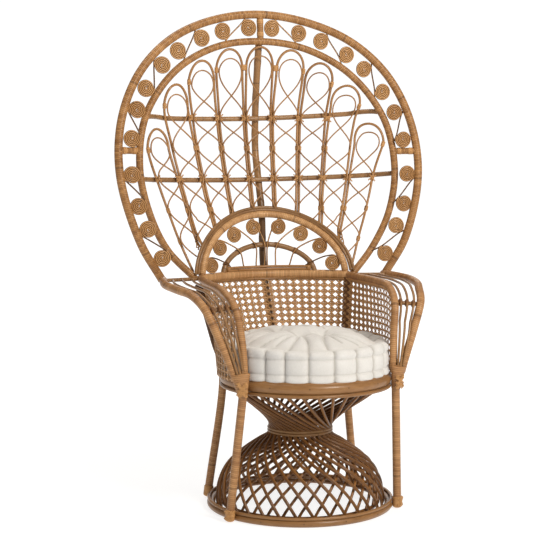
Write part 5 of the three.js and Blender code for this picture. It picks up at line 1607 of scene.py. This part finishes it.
@dataclass
class Pedestal:
    """The floor ring, the twisted bell and funnel with a counter-twisted inner layer, the seat ring and deck."""

    base_radius: float = 278
    base_pole: float = 25
    top_rod: float = 9.5
    hoop_pole: float = 12
    twist_rod: float = 9.5
    twist_count: int = 32
    layer_gap: float = 5.6
    floor_gap: float = 7
    waist_radius: float = 97
    waist_height: float = 231
    waist_band: float = 8
    waist_wall: float = 13
    collar: float = 5
    cad_facets: int = 30
    inner_share: float = 0.985
    inner_slimmer: float = 0.92
    funnel_turn: float = 72
    funnel_sag: float = 6
    bell_turn: float = 66
    bell_quicker: float = 0.45
    rod_facing: tuple = (0.3, 0.2, 1)
    hoop_height: float = 16
    seat_ring_height: float = 37.0
    seat_radius: float = 253.0
    seat_top: float = 416.0
    seat_forward: float = 49.5
    seat_groove: float = 7
    seat_pole_half: float = 12
    trim_rod: float = 11
    trim_drop: float = 3.9
    nail_count: int = 14
    nail_turn: float = 0.35
    nail_radius: float = 1.7
    bell_shares: tuple = (
        (0, 1), (0.05, 0.93), (0.26, 0.84), (0.51, 0.715), (0.76, 0.56), (0.91, 0.39), (0.985, 0.22), (1, 0.1), (1, 0),
    )

    @classmethod
    def base_half_high(cls) -> float:
        """Half the floor ring's height, which is less than its width because it lies on a flat."""
        return cls.base_pole * np.cos(np.pi / 6) / 2

    def profile(self, shares: Sequence, near: float, far: float, low: float, high: float) -> Line:
        """A side view through shares of the way out and up."""
        out, up = np.asarray(shares, float).T
        return Line(spline(np.stack([blend(near, far, out), blend(low, high, up)], axis=-1), even=True))

    def twisted(self, profile: Line, share: Array, angle: Array, inset: float = 0) -> Array:
        """Places on a profile turned by an angle, moved forward as they near the seat."""
        radius, height = profile.at(share).T
        slope = profile.heading(share)
        radius, height = radius + slope[:, 1] * inset, height - slope[:, 0] * inset
        forward = self.seat_forward * ease(height, self.waist_height, self.seat_top - self.seat_ring_height)
        return round_spots(radius, angle, height, forward)

    def circle(self, radius: float, height: float, forward: float = 0.0) -> Array:
        """A level ring's places."""
        return round_spots(radius, np.arange(RING_PLACES) / RING_PLACES * TURN, height, forward)

    def build(self) -> None:
        """Makes every piece of the pedestal."""
        facet = np.cos(np.pi / self.cad_facets)
        near = self.waist_radius - self.waist_wall / 2
        bell_far = (self.base_radius - self.base_pole) * facet - AIR - self.twist_rod * 0.4
        funnel_far = (self.seat_radius - self.trim_rod) * facet - AIR - self.twist_rod / 2
        seat_low = self.seat_top - self.seat_ring_height
        bell = self.profile(self.bell_shares, near, bell_far, self.floor_gap, self.waist_height - self.collar)
        outer, inner = Strands(), Strands()
        share = np.linspace(0, 1, 34)
        turned = np.radians(self.bell_turn) * blend(share, 1 - (1 - share) ** 2, self.bell_quicker)
        sag = self.funnel_sag * np.sin(np.pi * share)[:, None] * UP
        half, layer = self.twist_rod / 2, self.twist_rod + self.layer_gap
        for start in np.arange(self.twist_count) / self.twist_count * TURN:
            waist = start + np.radians(self.funnel_turn)
            top = round_spots(funnel_far, start, seat_low - AIR, self.seat_forward)
            foot = round_spots(near, waist, self.waist_height + self.collar)
            outer.rod(blend(top, foot, share[:, None]) - sag, half, 8, facing=UP)
            outer.rod(self.twisted(bell, share, waist + turned), half, 8, facing=self.rod_facing)
            within = self.twisted(bell, share * self.inner_share, start - turned, layer)
            inner.rod(within, half * self.inner_slimmer, 8, facing=self.rod_facing)
        inner.rod(self.circle(bell_far - layer, self.hoop_height), self.hoop_pole / 2, 10, closed=True)
        bands = Strands()
        for lift in (-self.waist_band / 2 - 0.2, self.waist_band / 2 + 0.2):
            bands.rod(self.circle(self.waist_radius - 3.4, self.waist_height + lift), 4.4, 10, closed=True)
        bands.rod(self.circle(self.waist_radius - 10.5, self.waist_height), 4, 8, 7, UP, closed=True)
        hand_in("pedestal_outer_twist", outer, Finish.TWIST_ROD, Slot.POLE, ["outer_twist"])
        hand_in("pedestal_inner_twist", inner, Finish.TWIST_ROD, Slot.POLE, ["inner_twist"])
        hand_in("waist_bands", bands, Finish.POLE, Slot.POLE, ["outer_twist"])
        self.build_rings()

    def build_rings(self) -> None:
        """Makes the floor ring of two rods, the seat ring of a broad pole between thin rods, and the nails in both."""
        base, seat, nails = Strands(), Strands(), Strands()
        floor_high = self.base_half_high()
        ring = self.circle(self.base_radius - self.base_pole / 2, floor_high)
        base.rod(ring, floor_high, 18, self.base_pole / 2, ring * LEVEL, closed=True)
        base.rod(self.circle(self.base_radius - 5.6, 2 * floor_high + 3.4), self.top_rod / 2, 10, closed=True)
        forward, high = self.seat_forward, self.seat_top
        low = high - self.seat_ring_height
        middle = (low + high - self.seat_groove) / 2
        ring = self.circle(self.seat_radius - self.seat_pole_half, middle, forward)
        seat.rod(ring, middle - low, 20, self.seat_pole_half, self.circle(1, 0), closed=True)
        trim = self.trim_rod / 2
        thin_rods = ((13, high - 7.5, 4.6), (22, high - 5.5, 4.8), (trim, low - AIR - self.trim_drop, trim))
        for inset, height, half in thin_rods:
            seat.rod(self.circle(self.seat_radius - inset, height, forward), half, 10, closed=True)
        for k in range(self.nail_count):
            turn = (k + self.nail_turn) / self.nail_count * TURN
            outwards = np.array([np.sin(turn), -np.cos(turn), 0])
            for radius, height, ahead in ((self.seat_radius, middle + 3, forward), (self.base_radius, 12, 0)):
                spot = outwards * (radius - 0.4) + np.array([0, -ahead, height])
                nails.rod(np.array([spot - outwards * 2, spot, spot + outwards * 0.6]), self.nail_radius, 8)
        hand_in("floor_ring_rods", base, Finish.BENT_POLE, Slot.POLE, ["base_ring", "base_top_rod"])
        hand_in("seat_ring_rods", seat, Finish.BENT_POLE, Slot.POLE, ["seat_ring", "seat_trim_rod"])
        hand_in("ring_nails", nails, Finish.DARK_POLE, Slot.POLE)


@dataclass
class Legs:
    """Four wrapped legs: the front pair with a wound cone under the arm, the rear pair run on as corner posts."""

    cane: CaneWall
    pole: float = 24
    foot: float = 29
    wound: float = 12.7
    foot_wound: float = 13.3
    second_cross: tuple = (0, -0.9, 0)
    foot_height: float = 30
    floor_gap: float = 6
    head_low: float = 366
    head_high: float = 430
    head_shift: float = 13
    head_ridges: int = 12
    head_halves: tuple = (12.8, 27.5, 14.6)
    head_crosses: tuple = ((378, 12.5), (392, 15))
    front_heights: tuple = (30, 200, 300, 400)
    cad_sides: int = 8
    front_at_base: float = 62.4
    front_at_seat: float = 60
    rear_at_base: float = 124.6
    rear_shares: tuple = (0, 0.3, 0.65, 0.97)
    corner_gap: float = 5.4

    @classmethod
    def base_place(cls, angle: float) -> Array:
        """Where a leg passes the floor ring, at an angle in degrees from the front."""
        radius = Pedestal.base_radius + cls.foot / 2 * np.cos(np.pi / cls.cad_sides)
        return round_spots(radius, np.radians(angle), Pedestal.base_half_high())

    @classmethod
    def front_place(cls, height: float) -> Array:
        """A place on the right front leg's line, at a height."""
        low = cls.base_place(cls.front_at_base)
        seat = Pedestal.seat_top - Pedestal.seat_ring_height / 2
        radius = Pedestal.seat_radius + cls.pole / 2 + AIR
        high = round_spots(radius, np.radians(cls.front_at_seat), seat, Pedestal.seat_forward)
        return low + (high - low) * (height - low[2]) / (high[2] - low[2])

    @classmethod
    def head_centre(cls) -> Array:
        """The middle of the leg's head, under the inner rail."""
        return cls.front_place(Arms.head_top)

    @staticmethod
    def corner_share(cane: CaneWall) -> float:
        """The share round the wall where its top comes nearest to the sill's right end."""
        shares = np.linspace(0, 0.5, 201)
        return float(shares[np.argmin(np.linalg.norm(cane.top.at(shares) - FORM.sill_end, axis=1))])

    def build(self) -> None:
        """Makes both pairs of legs with their wound feet, heads and lashings."""
        for side, word in SIDES:
            self.build_front(side, word)
            self.build_rear(side, word)

    def foot_winding(self, windings: Strands, route: Line) -> None:
        """Winds peel round the bottom of a leg."""
        axis = route.heading(0)
        centre = route.at(0) + axis * self.foot_height / 2
        wound, length = self.foot_wound, self.foot_height - 1
        windings.coil(centre, axis, (1, 0, 0), wound, wound, length, turns=7, strip=1.2, sides=16)

    def ring_lashing(
        self,
        windings: Strands,
        centre: Array,
        outwards: Array,
        height: float,
        out: float = 11.4,
        half: float = 11,
    ) -> None:
        """Lashes a leg to a ring with two crossed windings on its outside, over turns round it.

        Args:
            windings: Takes the winding.
            centre: The leg's middle at the ring.
            outwards: The direction away from the ring.
            height: Height of the winding.
            out: How far outwards the crosses sit.
            half: Half their width.
        """
        for front in (outwards, unit(outwards + self.second_cross)):
            windings.cross(centre + front * out, front, UP, half, height / 2, lift=2.6, strips=3, strip=1.2)
        windings.coil(centre, UP, outwards, self.wound, self.wound, length=14, turns=5, sides=16)

    def build_front(self, side: int, word: str) -> None:
        """Makes a front leg: a straight pole whose head flares to carry both rails."""
        pole, windings, lashings, head = (Strands() for _ in range(4))
        points = np.stack([self.front_place(z) for z in (self.floor_gap, *self.front_heights)])
        line = Line(mirrored(points, side))
        pole.rod(line.cut(0, 1, 40), self.pole / 2, 16, tone=0.5)
        self.foot_winding(windings, line)
        across = unit(np.array([Arms.head_span, Arms.head_back, 0.0]))
        start, end = self.front_place(self.head_low), self.front_place(self.head_high) + across * self.head_shift
        share = np.linspace(0, 1, 49)
        route = mirrored(blend(start, end, share[:, None]), side)
        ridge = 0.5 * np.abs(np.sin(np.pi * self.head_ridges * share))
        narrow, wide, deep = self.head_halves
        aside = mirrored(across, side)
        front = unit(np.cross(aside, UP))
        head.rod(route, blend(narrow, wide, share**1.1) + ridge, 20, blend(narrow, deep, share) + ridge, front)
        front = front if front[1] < 0 else -front
        for height, half in self.head_crosses:
            centre = mirrored(self.front_place(height), side) + front * 15.2 + aside * (half - self.head_crosses[0][1])
            lashings.cross(centre, front, UP, half, 10, lift=3.6, strips=3, strip=1.2)
        outwards = unit(mirrored(points[3], side) * LEVEL)
        self.ring_lashing(lashings, mirrored(self.front_place(390), side) + aside * 5, front, 36, 14.2, 13)
        self.ring_lashing(lashings, mirrored(self.front_place(22), side), outwards, 26)
        hand_in(f"front_leg_{word}_wrapped", pole, Finish.WRAPPED, Slot.WRAPPED, [f"front_leg_{word}"])
        hand_in(f"front_leg_{word}_windings", windings, Finish.LASHING, Slot.WRAPPED)
        hand_in(f"front_leg_{word}_head", head, Finish.WRAPPED, Slot.WRAPPED)
        hand_in(f"front_leg_{word}_lashings", lashings, Finish.LASHING, Slot.WRAPPED)

    def build_rear(self, side: int, word: str) -> None:
        """Makes a rear leg, run on above the seat ring as a corner post outside the cane."""
        out = (self.pole + self.corner_gap + self.cane.thickness) / 2 + AIR
        rises = np.array(self.rear_shares)
        above, _ = self.cane.place(np.full(len(rises), self.corner_share(self.cane)), rises, out)
        base = self.base_place(self.rear_at_base)
        foot = base + (above[0] - base) * (self.floor_gap - base[2]) / (above[0][2] - base[2])
        line = Line(mirrored(spline([foot, *above]), side))
        pole, windings, lashings = Strands(), Strands(), Strands()
        pole.rod(line.cut(0, 1, 80), self.pole / 2, 16, tone=0.5)
        self.foot_winding(windings, line)
        outwards = unit(mirrored(above[0], side) * LEVEL)
        self.ring_lashing(lashings, mirrored(above[0], side), outwards, 34)
        hand_in(f"rear_leg_{word}_wrapped", pole, Finish.SHADED_WRAPPED, Slot.WRAPPED, [f"rear_leg_{word}"])
        hand_in(f"rear_leg_{word}_windings", windings, Finish.LASHING, Slot.WRAPPED)
        hand_in(f"rear_leg_{word}_lashings", lashings, Finish.LASHING, Slot.WRAPPED)


@dataclass
class Cushion:
    """The round box cushion: a side of sewn panels between two rolled edges, and a top drawn in by tufts."""

    radius: float = 243
    panels: int = 22
    panel_steps: tuple = (0, 0.04, 0.1, 0.2, 0.34, 0.5, 0.66, 0.8, 0.9, 0.96)
    row_steps: tuple = ((0, 0), (0.07, 0.35), (0.5, 0.595), (1, 1))
    rows: int = 88
    row_pitch: float = 6.0
    seam_depth: float = 7
    seam_width: float = 4.2
    panel_swell: float = 4.0
    panel_inset: float = 1.5
    outer_tuft: float = 203
    inner_tuft: float = 84
    inner_tufts: int = 6
    inner_turn: float = -0.62
    stitch_low: float = 16.0
    stitch_high: float = 59.0
    most_moved: float = 11
    back_lift: float = 7
    frames: int = 20
    inner_pit: tuple = (34, 25)
    outer_pit: tuple = (14, 10)
    fold_depths: tuple = (21, 6, 13)
    fold_width: float = 8.5
    fold_bow: float = 11
    rim_fold: tuple = ((11, 6), 6.0, 0)
    ring_fold: tuple = ((14, 14), 12, 6)
    stitch_width: float = 2.2
    crease_power: float = 1.6
    fill: float = 0.7
    profile: tuple = (
        (0, 0.6), (150, 0.3), (214, 0.2), (229, -1.5), (239, -7), (243.5, -4.5), (244, 4), (241, 13), (238, 16),
        (240.5, 19), (243, 37), (240.5, 55.5), (238, 59), (240.5, 62.5), (243.5, 72), (239, 82), (228, 87), (215, 85),
        (203, 80), (190, 86), (165, 100), (110, 117), (50, 125), (0, 127),
    )

    def seams(self) -> Array:
        """Angles of the side's seams, a little uneven."""
        wander = np.random.default_rng(SEED).uniform(-0.09, 0.09, self.panels)
        return (np.arange(self.panels) + wander) / self.panels * TURN

    def tufts(self) -> tuple[Array, Array]:
        """Places of the outer tufts, one at the end of each seam, and of the inner ones."""
        rng = np.random.default_rng(SEED + 1)
        outer, inner = self.seams(), self.inner_turn + np.arange(self.inner_tufts) / self.inner_tufts * TURN
        outer_away = self.outer_tuft + rng.uniform(-7, 7, len(outer))
        inner_away = self.inner_tuft + rng.uniform(-20, 20, len(inner))
        inner = inner + rng.uniform(-0.22, 0.22, len(inner))
        return tuple(
            np.stack([away * np.sin(turn), -away * np.cos(turn)], axis=-1)
            for turn, away in ((outer, outer_away), (inner, inner_away))
        )

    def drawn_down(self, x: Array, y: Array) -> tuple[Array, Array]:
        """How far the top is drawn down, and how firmly it is held there.

        Each tuft makes a pit. A fold runs from each outer tuft towards the inner tuft nearest to it, bowed a little
        aside and deepest at its inner end, a short one runs on to the edge, and one joins each inner tuft to the next.

        Args:
            x: Places across.
            y: Places from front to back.

        Returns:
            Millimetres down, and a hold from 0 to 1.
        """
        outer, inner = self.tufts()
        drawn, hold = np.zeros_like(x), np.zeros_like(x)

        def pit(place: Array, deep: float, wide: float) -> None:
            """Draws one tuft in."""
            nonlocal drawn, hold
            off = (x - place[0]) ** 2 + (y - place[1]) ** 2
            drawn = np.maximum(drawn, deep * np.exp(-np.sqrt(off + 4) / wide))
            hold = np.maximum(hold, np.exp(-off / 60))

        def fold(start: Array, end: Array, deep: tuple[float, float], wide: float, bow: float) -> None:
            """Draws one fold in, along a bowed line."""
            nonlocal drawn, hold
            run = end - start
            length = np.hypot(*run)
            share = ((x - start[0]) * run[0] + (y - start[1]) * run[1]) / length**2
            side = ((x - start[0]) * run[1] - (y - start[1]) * run[0]) / length
            side = side - bow * np.sin(np.pi * np.clip(share, 0, 1))
            beyond = np.maximum(0, np.maximum(-share, share - 1)) * length
            off = np.hypot(side, beyond)
            valley = blend(deep[0], deep[1], np.clip(share, 0, 1))
            drawn = np.maximum(drawn, valley * np.exp(-off / wide))
            hold = np.maximum(hold, 0.9 * np.exp(-((off / 4) ** 2)))

        rng = np.random.default_rng(SEED + 2)
        for place in inner:
            pit(place, *self.inner_pit)
        for k, place in enumerate(outer):
            pit(place, *self.outer_pit)
            near = inner[np.argmin(np.hypot(*(inner - place).T))]
            reach = rng.uniform(0.55, 1.0) if k % 3 else 1.0
            deep = (self.fold_depths[0], self.fold_depths[1 if reach < 1 else 2])
            bow = rng.uniform(-self.fold_bow, self.fold_bow)
            fold(near, near + (place - near) * reach, deep, self.fold_width, bow)
            fold(place, place * (self.radius - 4) / np.hypot(*place), *self.rim_fold)
        for k, place in enumerate(inner):
            fold(place, inner[(k + 1) % len(inner)], *self.ring_fold)
        return drawn, hold

    def places(self) -> tuple[Array, Array]:
        """The cushion's closed form on a grid of rows up its profile and columns round it, closest at the seams.

        The radius follows the profile, is drawn in at each panel's seam and swells between; the top's height is the
        profile's less what the tufts and folds draw down.

        Returns:
            Rows by columns by three, in millimetres from the middle of the bottom, and how firmly each is held.
        """
        share = np.interp(np.linspace(0.01, 0.995, self.rows), *np.array(self.row_steps).T)
        radius, height = Line(spline(self.profile, per_span=30)).at(share).T
        seams = np.append(self.seams(), self.seams()[0] + TURN)
        angle = (seams[:-1, None] + np.diff(seams)[:, None] * np.array(self.panel_steps)).ravel()
        radius, angle = np.meshgrid(radius, angle, indexing="ij")
        height = np.broadcast_to(height[:, None], radius.shape)
        apart = np.abs((angle[..., None] - self.seams() + np.pi) % TURN - np.pi)
        off = apart.min(axis=-1) * self.radius
        outside = ease(radius, 200, 230)
        seam = np.exp(-((off / self.seam_width) ** 1.2))
        half_panel = np.pi * self.radius / self.panels
        swell = self.panel_swell * (1 - (np.clip(off / half_panel, 0, 1) - 1) ** 2) - self.panel_inset
        wander = np.random.default_rng(SEED + 3).uniform(0, TURN, 3)
        uneven = 1.6 * np.sin(3 * angle + wander[0]) + 1.0 * np.sin(8 * angle + wander[1]) * ease(height, 10, 80)
        radius = radius + outside * (swell - self.seam_depth * seam) + uneven * ease(radius, 100, 232)
        levels = (self.stitch_low, self.stitch_high)
        stitches = sum(np.exp(-(((height - level) / self.stitch_width) ** 2)) for level in levels)
        x, y = radius * np.sin(angle), -radius * np.cos(angle)
        drawn, hold = self.drawn_down(x, y)
        on_top = ease(height, 66, 84)
        wavy = 2.2 * np.sin(4 * angle + wander[2]) + 1.5 * np.sin(x / 31 + y / 47)
        tilt = self.back_lift * ease(-np.cos(angle) * radius, -200, 200) * ease(height, 60, 90)
        lift = on_top * (wavy * ease(radius, 0, 120) - drawn) + tilt
        held = np.maximum(hold * on_top, outside * np.maximum(seam, 0.75 * stitches))
        under = ease(232 - radius, 0, 12) * ease(20 - height, 0, 8)
        held = np.maximum(held, np.maximum(under, ease(18 - radius, 0, 8)))
        return spots(x, y, height + lift), np.clip(held, 0, 1)

    def build(self) -> None:
        strands = Strands()
        places, held = self.places()
        places = places + np.array([0, -Pedestal.seat_forward, Pedestal.seat_top + AIR])
        strands.grid(places, np.arange(self.rows) * self.row_pitch, tone=0.5)
        mesh = strands.mesh("cushion")
        self.settle(mesh, held.ravel())
        # The crease attribute, the hold raised to a power, places painted shade in the cover's folds, seams, stitch
        # lines and underside.
        crease = mesh.attributes.new(CREASE, "FLOAT", "POINT")
        crease.data.foreach_set("value", (held.ravel() ** self.crease_power).astype(np.float32))
        piece = hand_in("tufted_cushion", mesh, Finish.COTTON, Slot.COTTON, ["cushion"], CUSHION_BODY)
        smooth = piece.modifiers.new("smooth", "SUBSURF")
        smooth.levels = smooth.render_levels = 1

    def settle(self, mesh: bpy.types.Mesh, held: Array) -> None:
        """Lets the cover settle as cloth under pressure, held at its seams and tufts, and keeps the moved places.

        The cloth is heavy and stiff, so it moves by less than a millimetre: the cushion's form is that of places().

        Args:
            mesh: The cover's mesh, which is changed.
            held: How firmly each vertex is held, from 0 to 1.
        """
        scene = bpy.context.scene
        trial = bpy.data.objects.new("cushion_trial", mesh.copy())
        scene.collection.objects.link(trial)
        group = trial.vertex_groups.new(name="held")
        for level in range(1, HOLD_LEVELS + 1):
            chosen = np.flatnonzero(np.ceil(held * HOLD_LEVELS).astype(int) == level)
            group.add(chosen.tolist(), level / HOLD_LEVELS, "REPLACE")
        cloth = trial.modifiers.new("cloth", "CLOTH")
        for name, value in COVER_CLOTH.items():
            setattr(cloth.settings, name, value)
        cloth.settings.vertex_group_mass = group.name
        cloth.settings.effector_weights.gravity = 0
        cloth.collision_settings.use_collision = False
        cloth.point_cache.frame_start, cloth.point_cache.frame_end = 1, self.frames
        for frame in range(1, self.frames + 1):
            scene.frame_set(frame)
        blown = trial.evaluated_get(bpy.context.evaluated_depsgraph_get()).to_mesh()
        before, after = (np.empty(3 * len(mesh.vertices), np.float32) for _ in range(2))
        mesh.vertices.foreach_get("co", before)
        blown.vertices.foreach_get("co", after)
        before, after = before.reshape(-1, 3), after.reshape(-1, 3)
        moved = np.nan_to_num(after - before)
        reach = np.linalg.norm(moved, axis=1, keepdims=True)
        limit = self.most_moved * METRE
        moved = moved * (limit * np.tanh(reach / limit) / np.maximum(reach, 1e-9))
        LOG.info("cushion cover moved by up to %.1f mm", float(np.linalg.norm(moved, axis=1).max()) / METRE)
        mesh.vertices.foreach_set("co", (before + moved).ravel())
        mesh.update()
        scene.frame_set(1)
        bpy.data.objects.remove(trial)


@dataclass
class Studio:
    """The camera at the photograph's angle, soft lights and a pale floor."""

    place: tuple[float, float, float] = (-1.3295, -3.8946, 1.0412)
    azimuth: float = -17.932
    pitch: float = 4.782
    lens: float = 91.473
    sky_light: float = 0.24
    backdrop: float = 1.06
    lobe: tuple[float, float] = (0.86, 0.95)
    lights: tuple = (
        ("key", (1.4, -3.7, 3.3), (0, 0, 0.75), 1.3, 190),
        ("fill", (-3.4, -1.8, 2.4), (0, 0, 0.7), 1.6, 7),
        ("overhead", (-0.6, 0.8, 3.6), (0, 0, 0.6), 1.6, 42),
        ("behind", (1.2, 3.6, 2.6), (0, 0, 0.8), 1.8, 28),
    )
    floor_radii: tuple = (0.001, 1, 2, 5, 12, 30)
    floor_sides: int = 96

    def build(self) -> None:
        """Makes the camera, the lights and the floor."""
        turn, pitch = np.radians(self.azimuth), np.radians(self.pitch)
        forward = np.array([-np.sin(turn) * np.cos(pitch), np.cos(turn) * np.cos(pitch), -np.sin(pitch)])
        right = np.array([np.cos(turn), np.sin(turn), 0])
        upwards = np.cross(right, forward)
        camera = bpy.data.objects.new("camera", bpy.data.cameras.new("camera"))
        camera.data.lens = self.lens
        camera.data.sensor_width = 36
        camera.data.clip_end = 100
        camera.matrix_world = self.stand(right, upwards, -forward, self.place)
        bpy.context.scene.collection.objects.link(camera)
        bpy.context.scene.camera = camera
        for settings in self.lights:
            self.light(*settings)
        self.sky(forward)
        self.floor()

    @staticmethod
    def stand(right: Array, upwards: Array, back: Array, place: Sequence[float]) -> Matrix:
        """The matrix of a thing that stands at a place, from its three axes."""
        matrix = np.eye(4)
        matrix[:3, 0], matrix[:3, 1], matrix[:3, 2], matrix[:3, 3] = right, upwards, back, place
        return Matrix(matrix.tolist())

    def light(self, name: str, place: Sequence[float], aim: Sequence[float], size: float, power: float) -> None:
        """Adds a soft square light that faces a place.

        Args:
            name: The light's name.
            place: Where it hangs, in metres.
            aim: What it faces.
            size: Its side, in metres.
            power: Its power, in watts.
        """
        lamp = bpy.data.lights.new(name, "AREA")
        lamp.size, lamp.energy = size, power
        lamp.color = linear("fffaf2")[:3]
        holder = bpy.data.objects.new(name, lamp)
        back = unit(np.array(place, float) - np.array(aim, float))
        right = unit(np.cross(UP, back))
        holder.matrix_world = self.stand(right, np.cross(back, right), back, place)
        bpy.context.scene.collection.objects.link(holder)

    def sky(self, backdrop: Array) -> None:
        """Gives the world a soft dim light, white towards the backdrop, that itself shows as white all round.

        Args:
            backdrop: The direction of the white part.
        """
        world = bpy.data.worlds.new("studio")
        r = Recipe(world)
        generated = r.add(Node.COORDINATES, out="Generated")
        towards = r.add(Node.VECTOR, {0: generated, 1: backdrop.tolist()}, out="Value", operation="DOT_PRODUCT")
        ends = dict(enumerate((towards, *self.lobe, self.sky_light, self.backdrop)))
        spread = r.add(Node.MAP, ends, interpolation_type="SMOOTHSTEP")
        shown = r.math("MULTIPLY", r.add(Node.LIGHT_PATH, out="Is Camera Ray"), self.backdrop)
        strength = r.math("MAXIMUM", spread, shown)
        shade = r.add(Node.BACKGROUND, {"Color": linear("ffffff"), "Strength": strength})
        r.add(Node.WORLD, {"Surface": shade})
        bpy.context.scene.world = world
        bpy.context.scene.view_settings.view_transform = "Standard"

    def floor(self) -> None:
        """Lays the floor, a wide level disc."""
        count, radius = self.floor_sides, np.array(self.floor_radii)[:, None]
        angle = np.arange(count) / count * TURN
        places = spots(radius * np.sin(angle), radius * np.cos(angle), 0)
        mesh = bpy.data.meshes.new("floor")
        index = np.arange(len(radius) * count).reshape(len(radius), count)
        after = np.roll(index, -1, axis=1)
        quads = np.stack([index[:-1], index[1:], after[1:], after[:-1]], axis=-1).reshape(-1, 4)
        mesh.from_pydata(places.reshape(-1, 3).tolist(), [], quads.tolist())
        mesh.materials.append(material_of(Finish.FLOOR))
        floor = bpy.data.objects.new("studio_floor", mesh)
        bpy.context.scene.collection.objects.link(floor)


def main() -> None:
    """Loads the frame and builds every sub-assembly over it."""
    logging.basicConfig(level=logging.INFO, format="%(name)s %(message)s")
    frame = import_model()
    Studio().build()
    hoops = Hoops()
    half_round = HalfRound()
    arms = Arms()
    for assembly in (hoops, Fan(hoops), half_round, arms):
        assembly.build()
    cane = CaneWall(arms, half_round.sill_line)
    for assembly in (cane, Pedestal(), Legs(cane), Cushion()):
        assembly.build()
    deck = frame["nodes"]["seat_deck"]
    deck.data.materials.clear()
    deck.data.materials.append(material_of(Finish.SLAT))


if __name__ == "__main__":
    main()
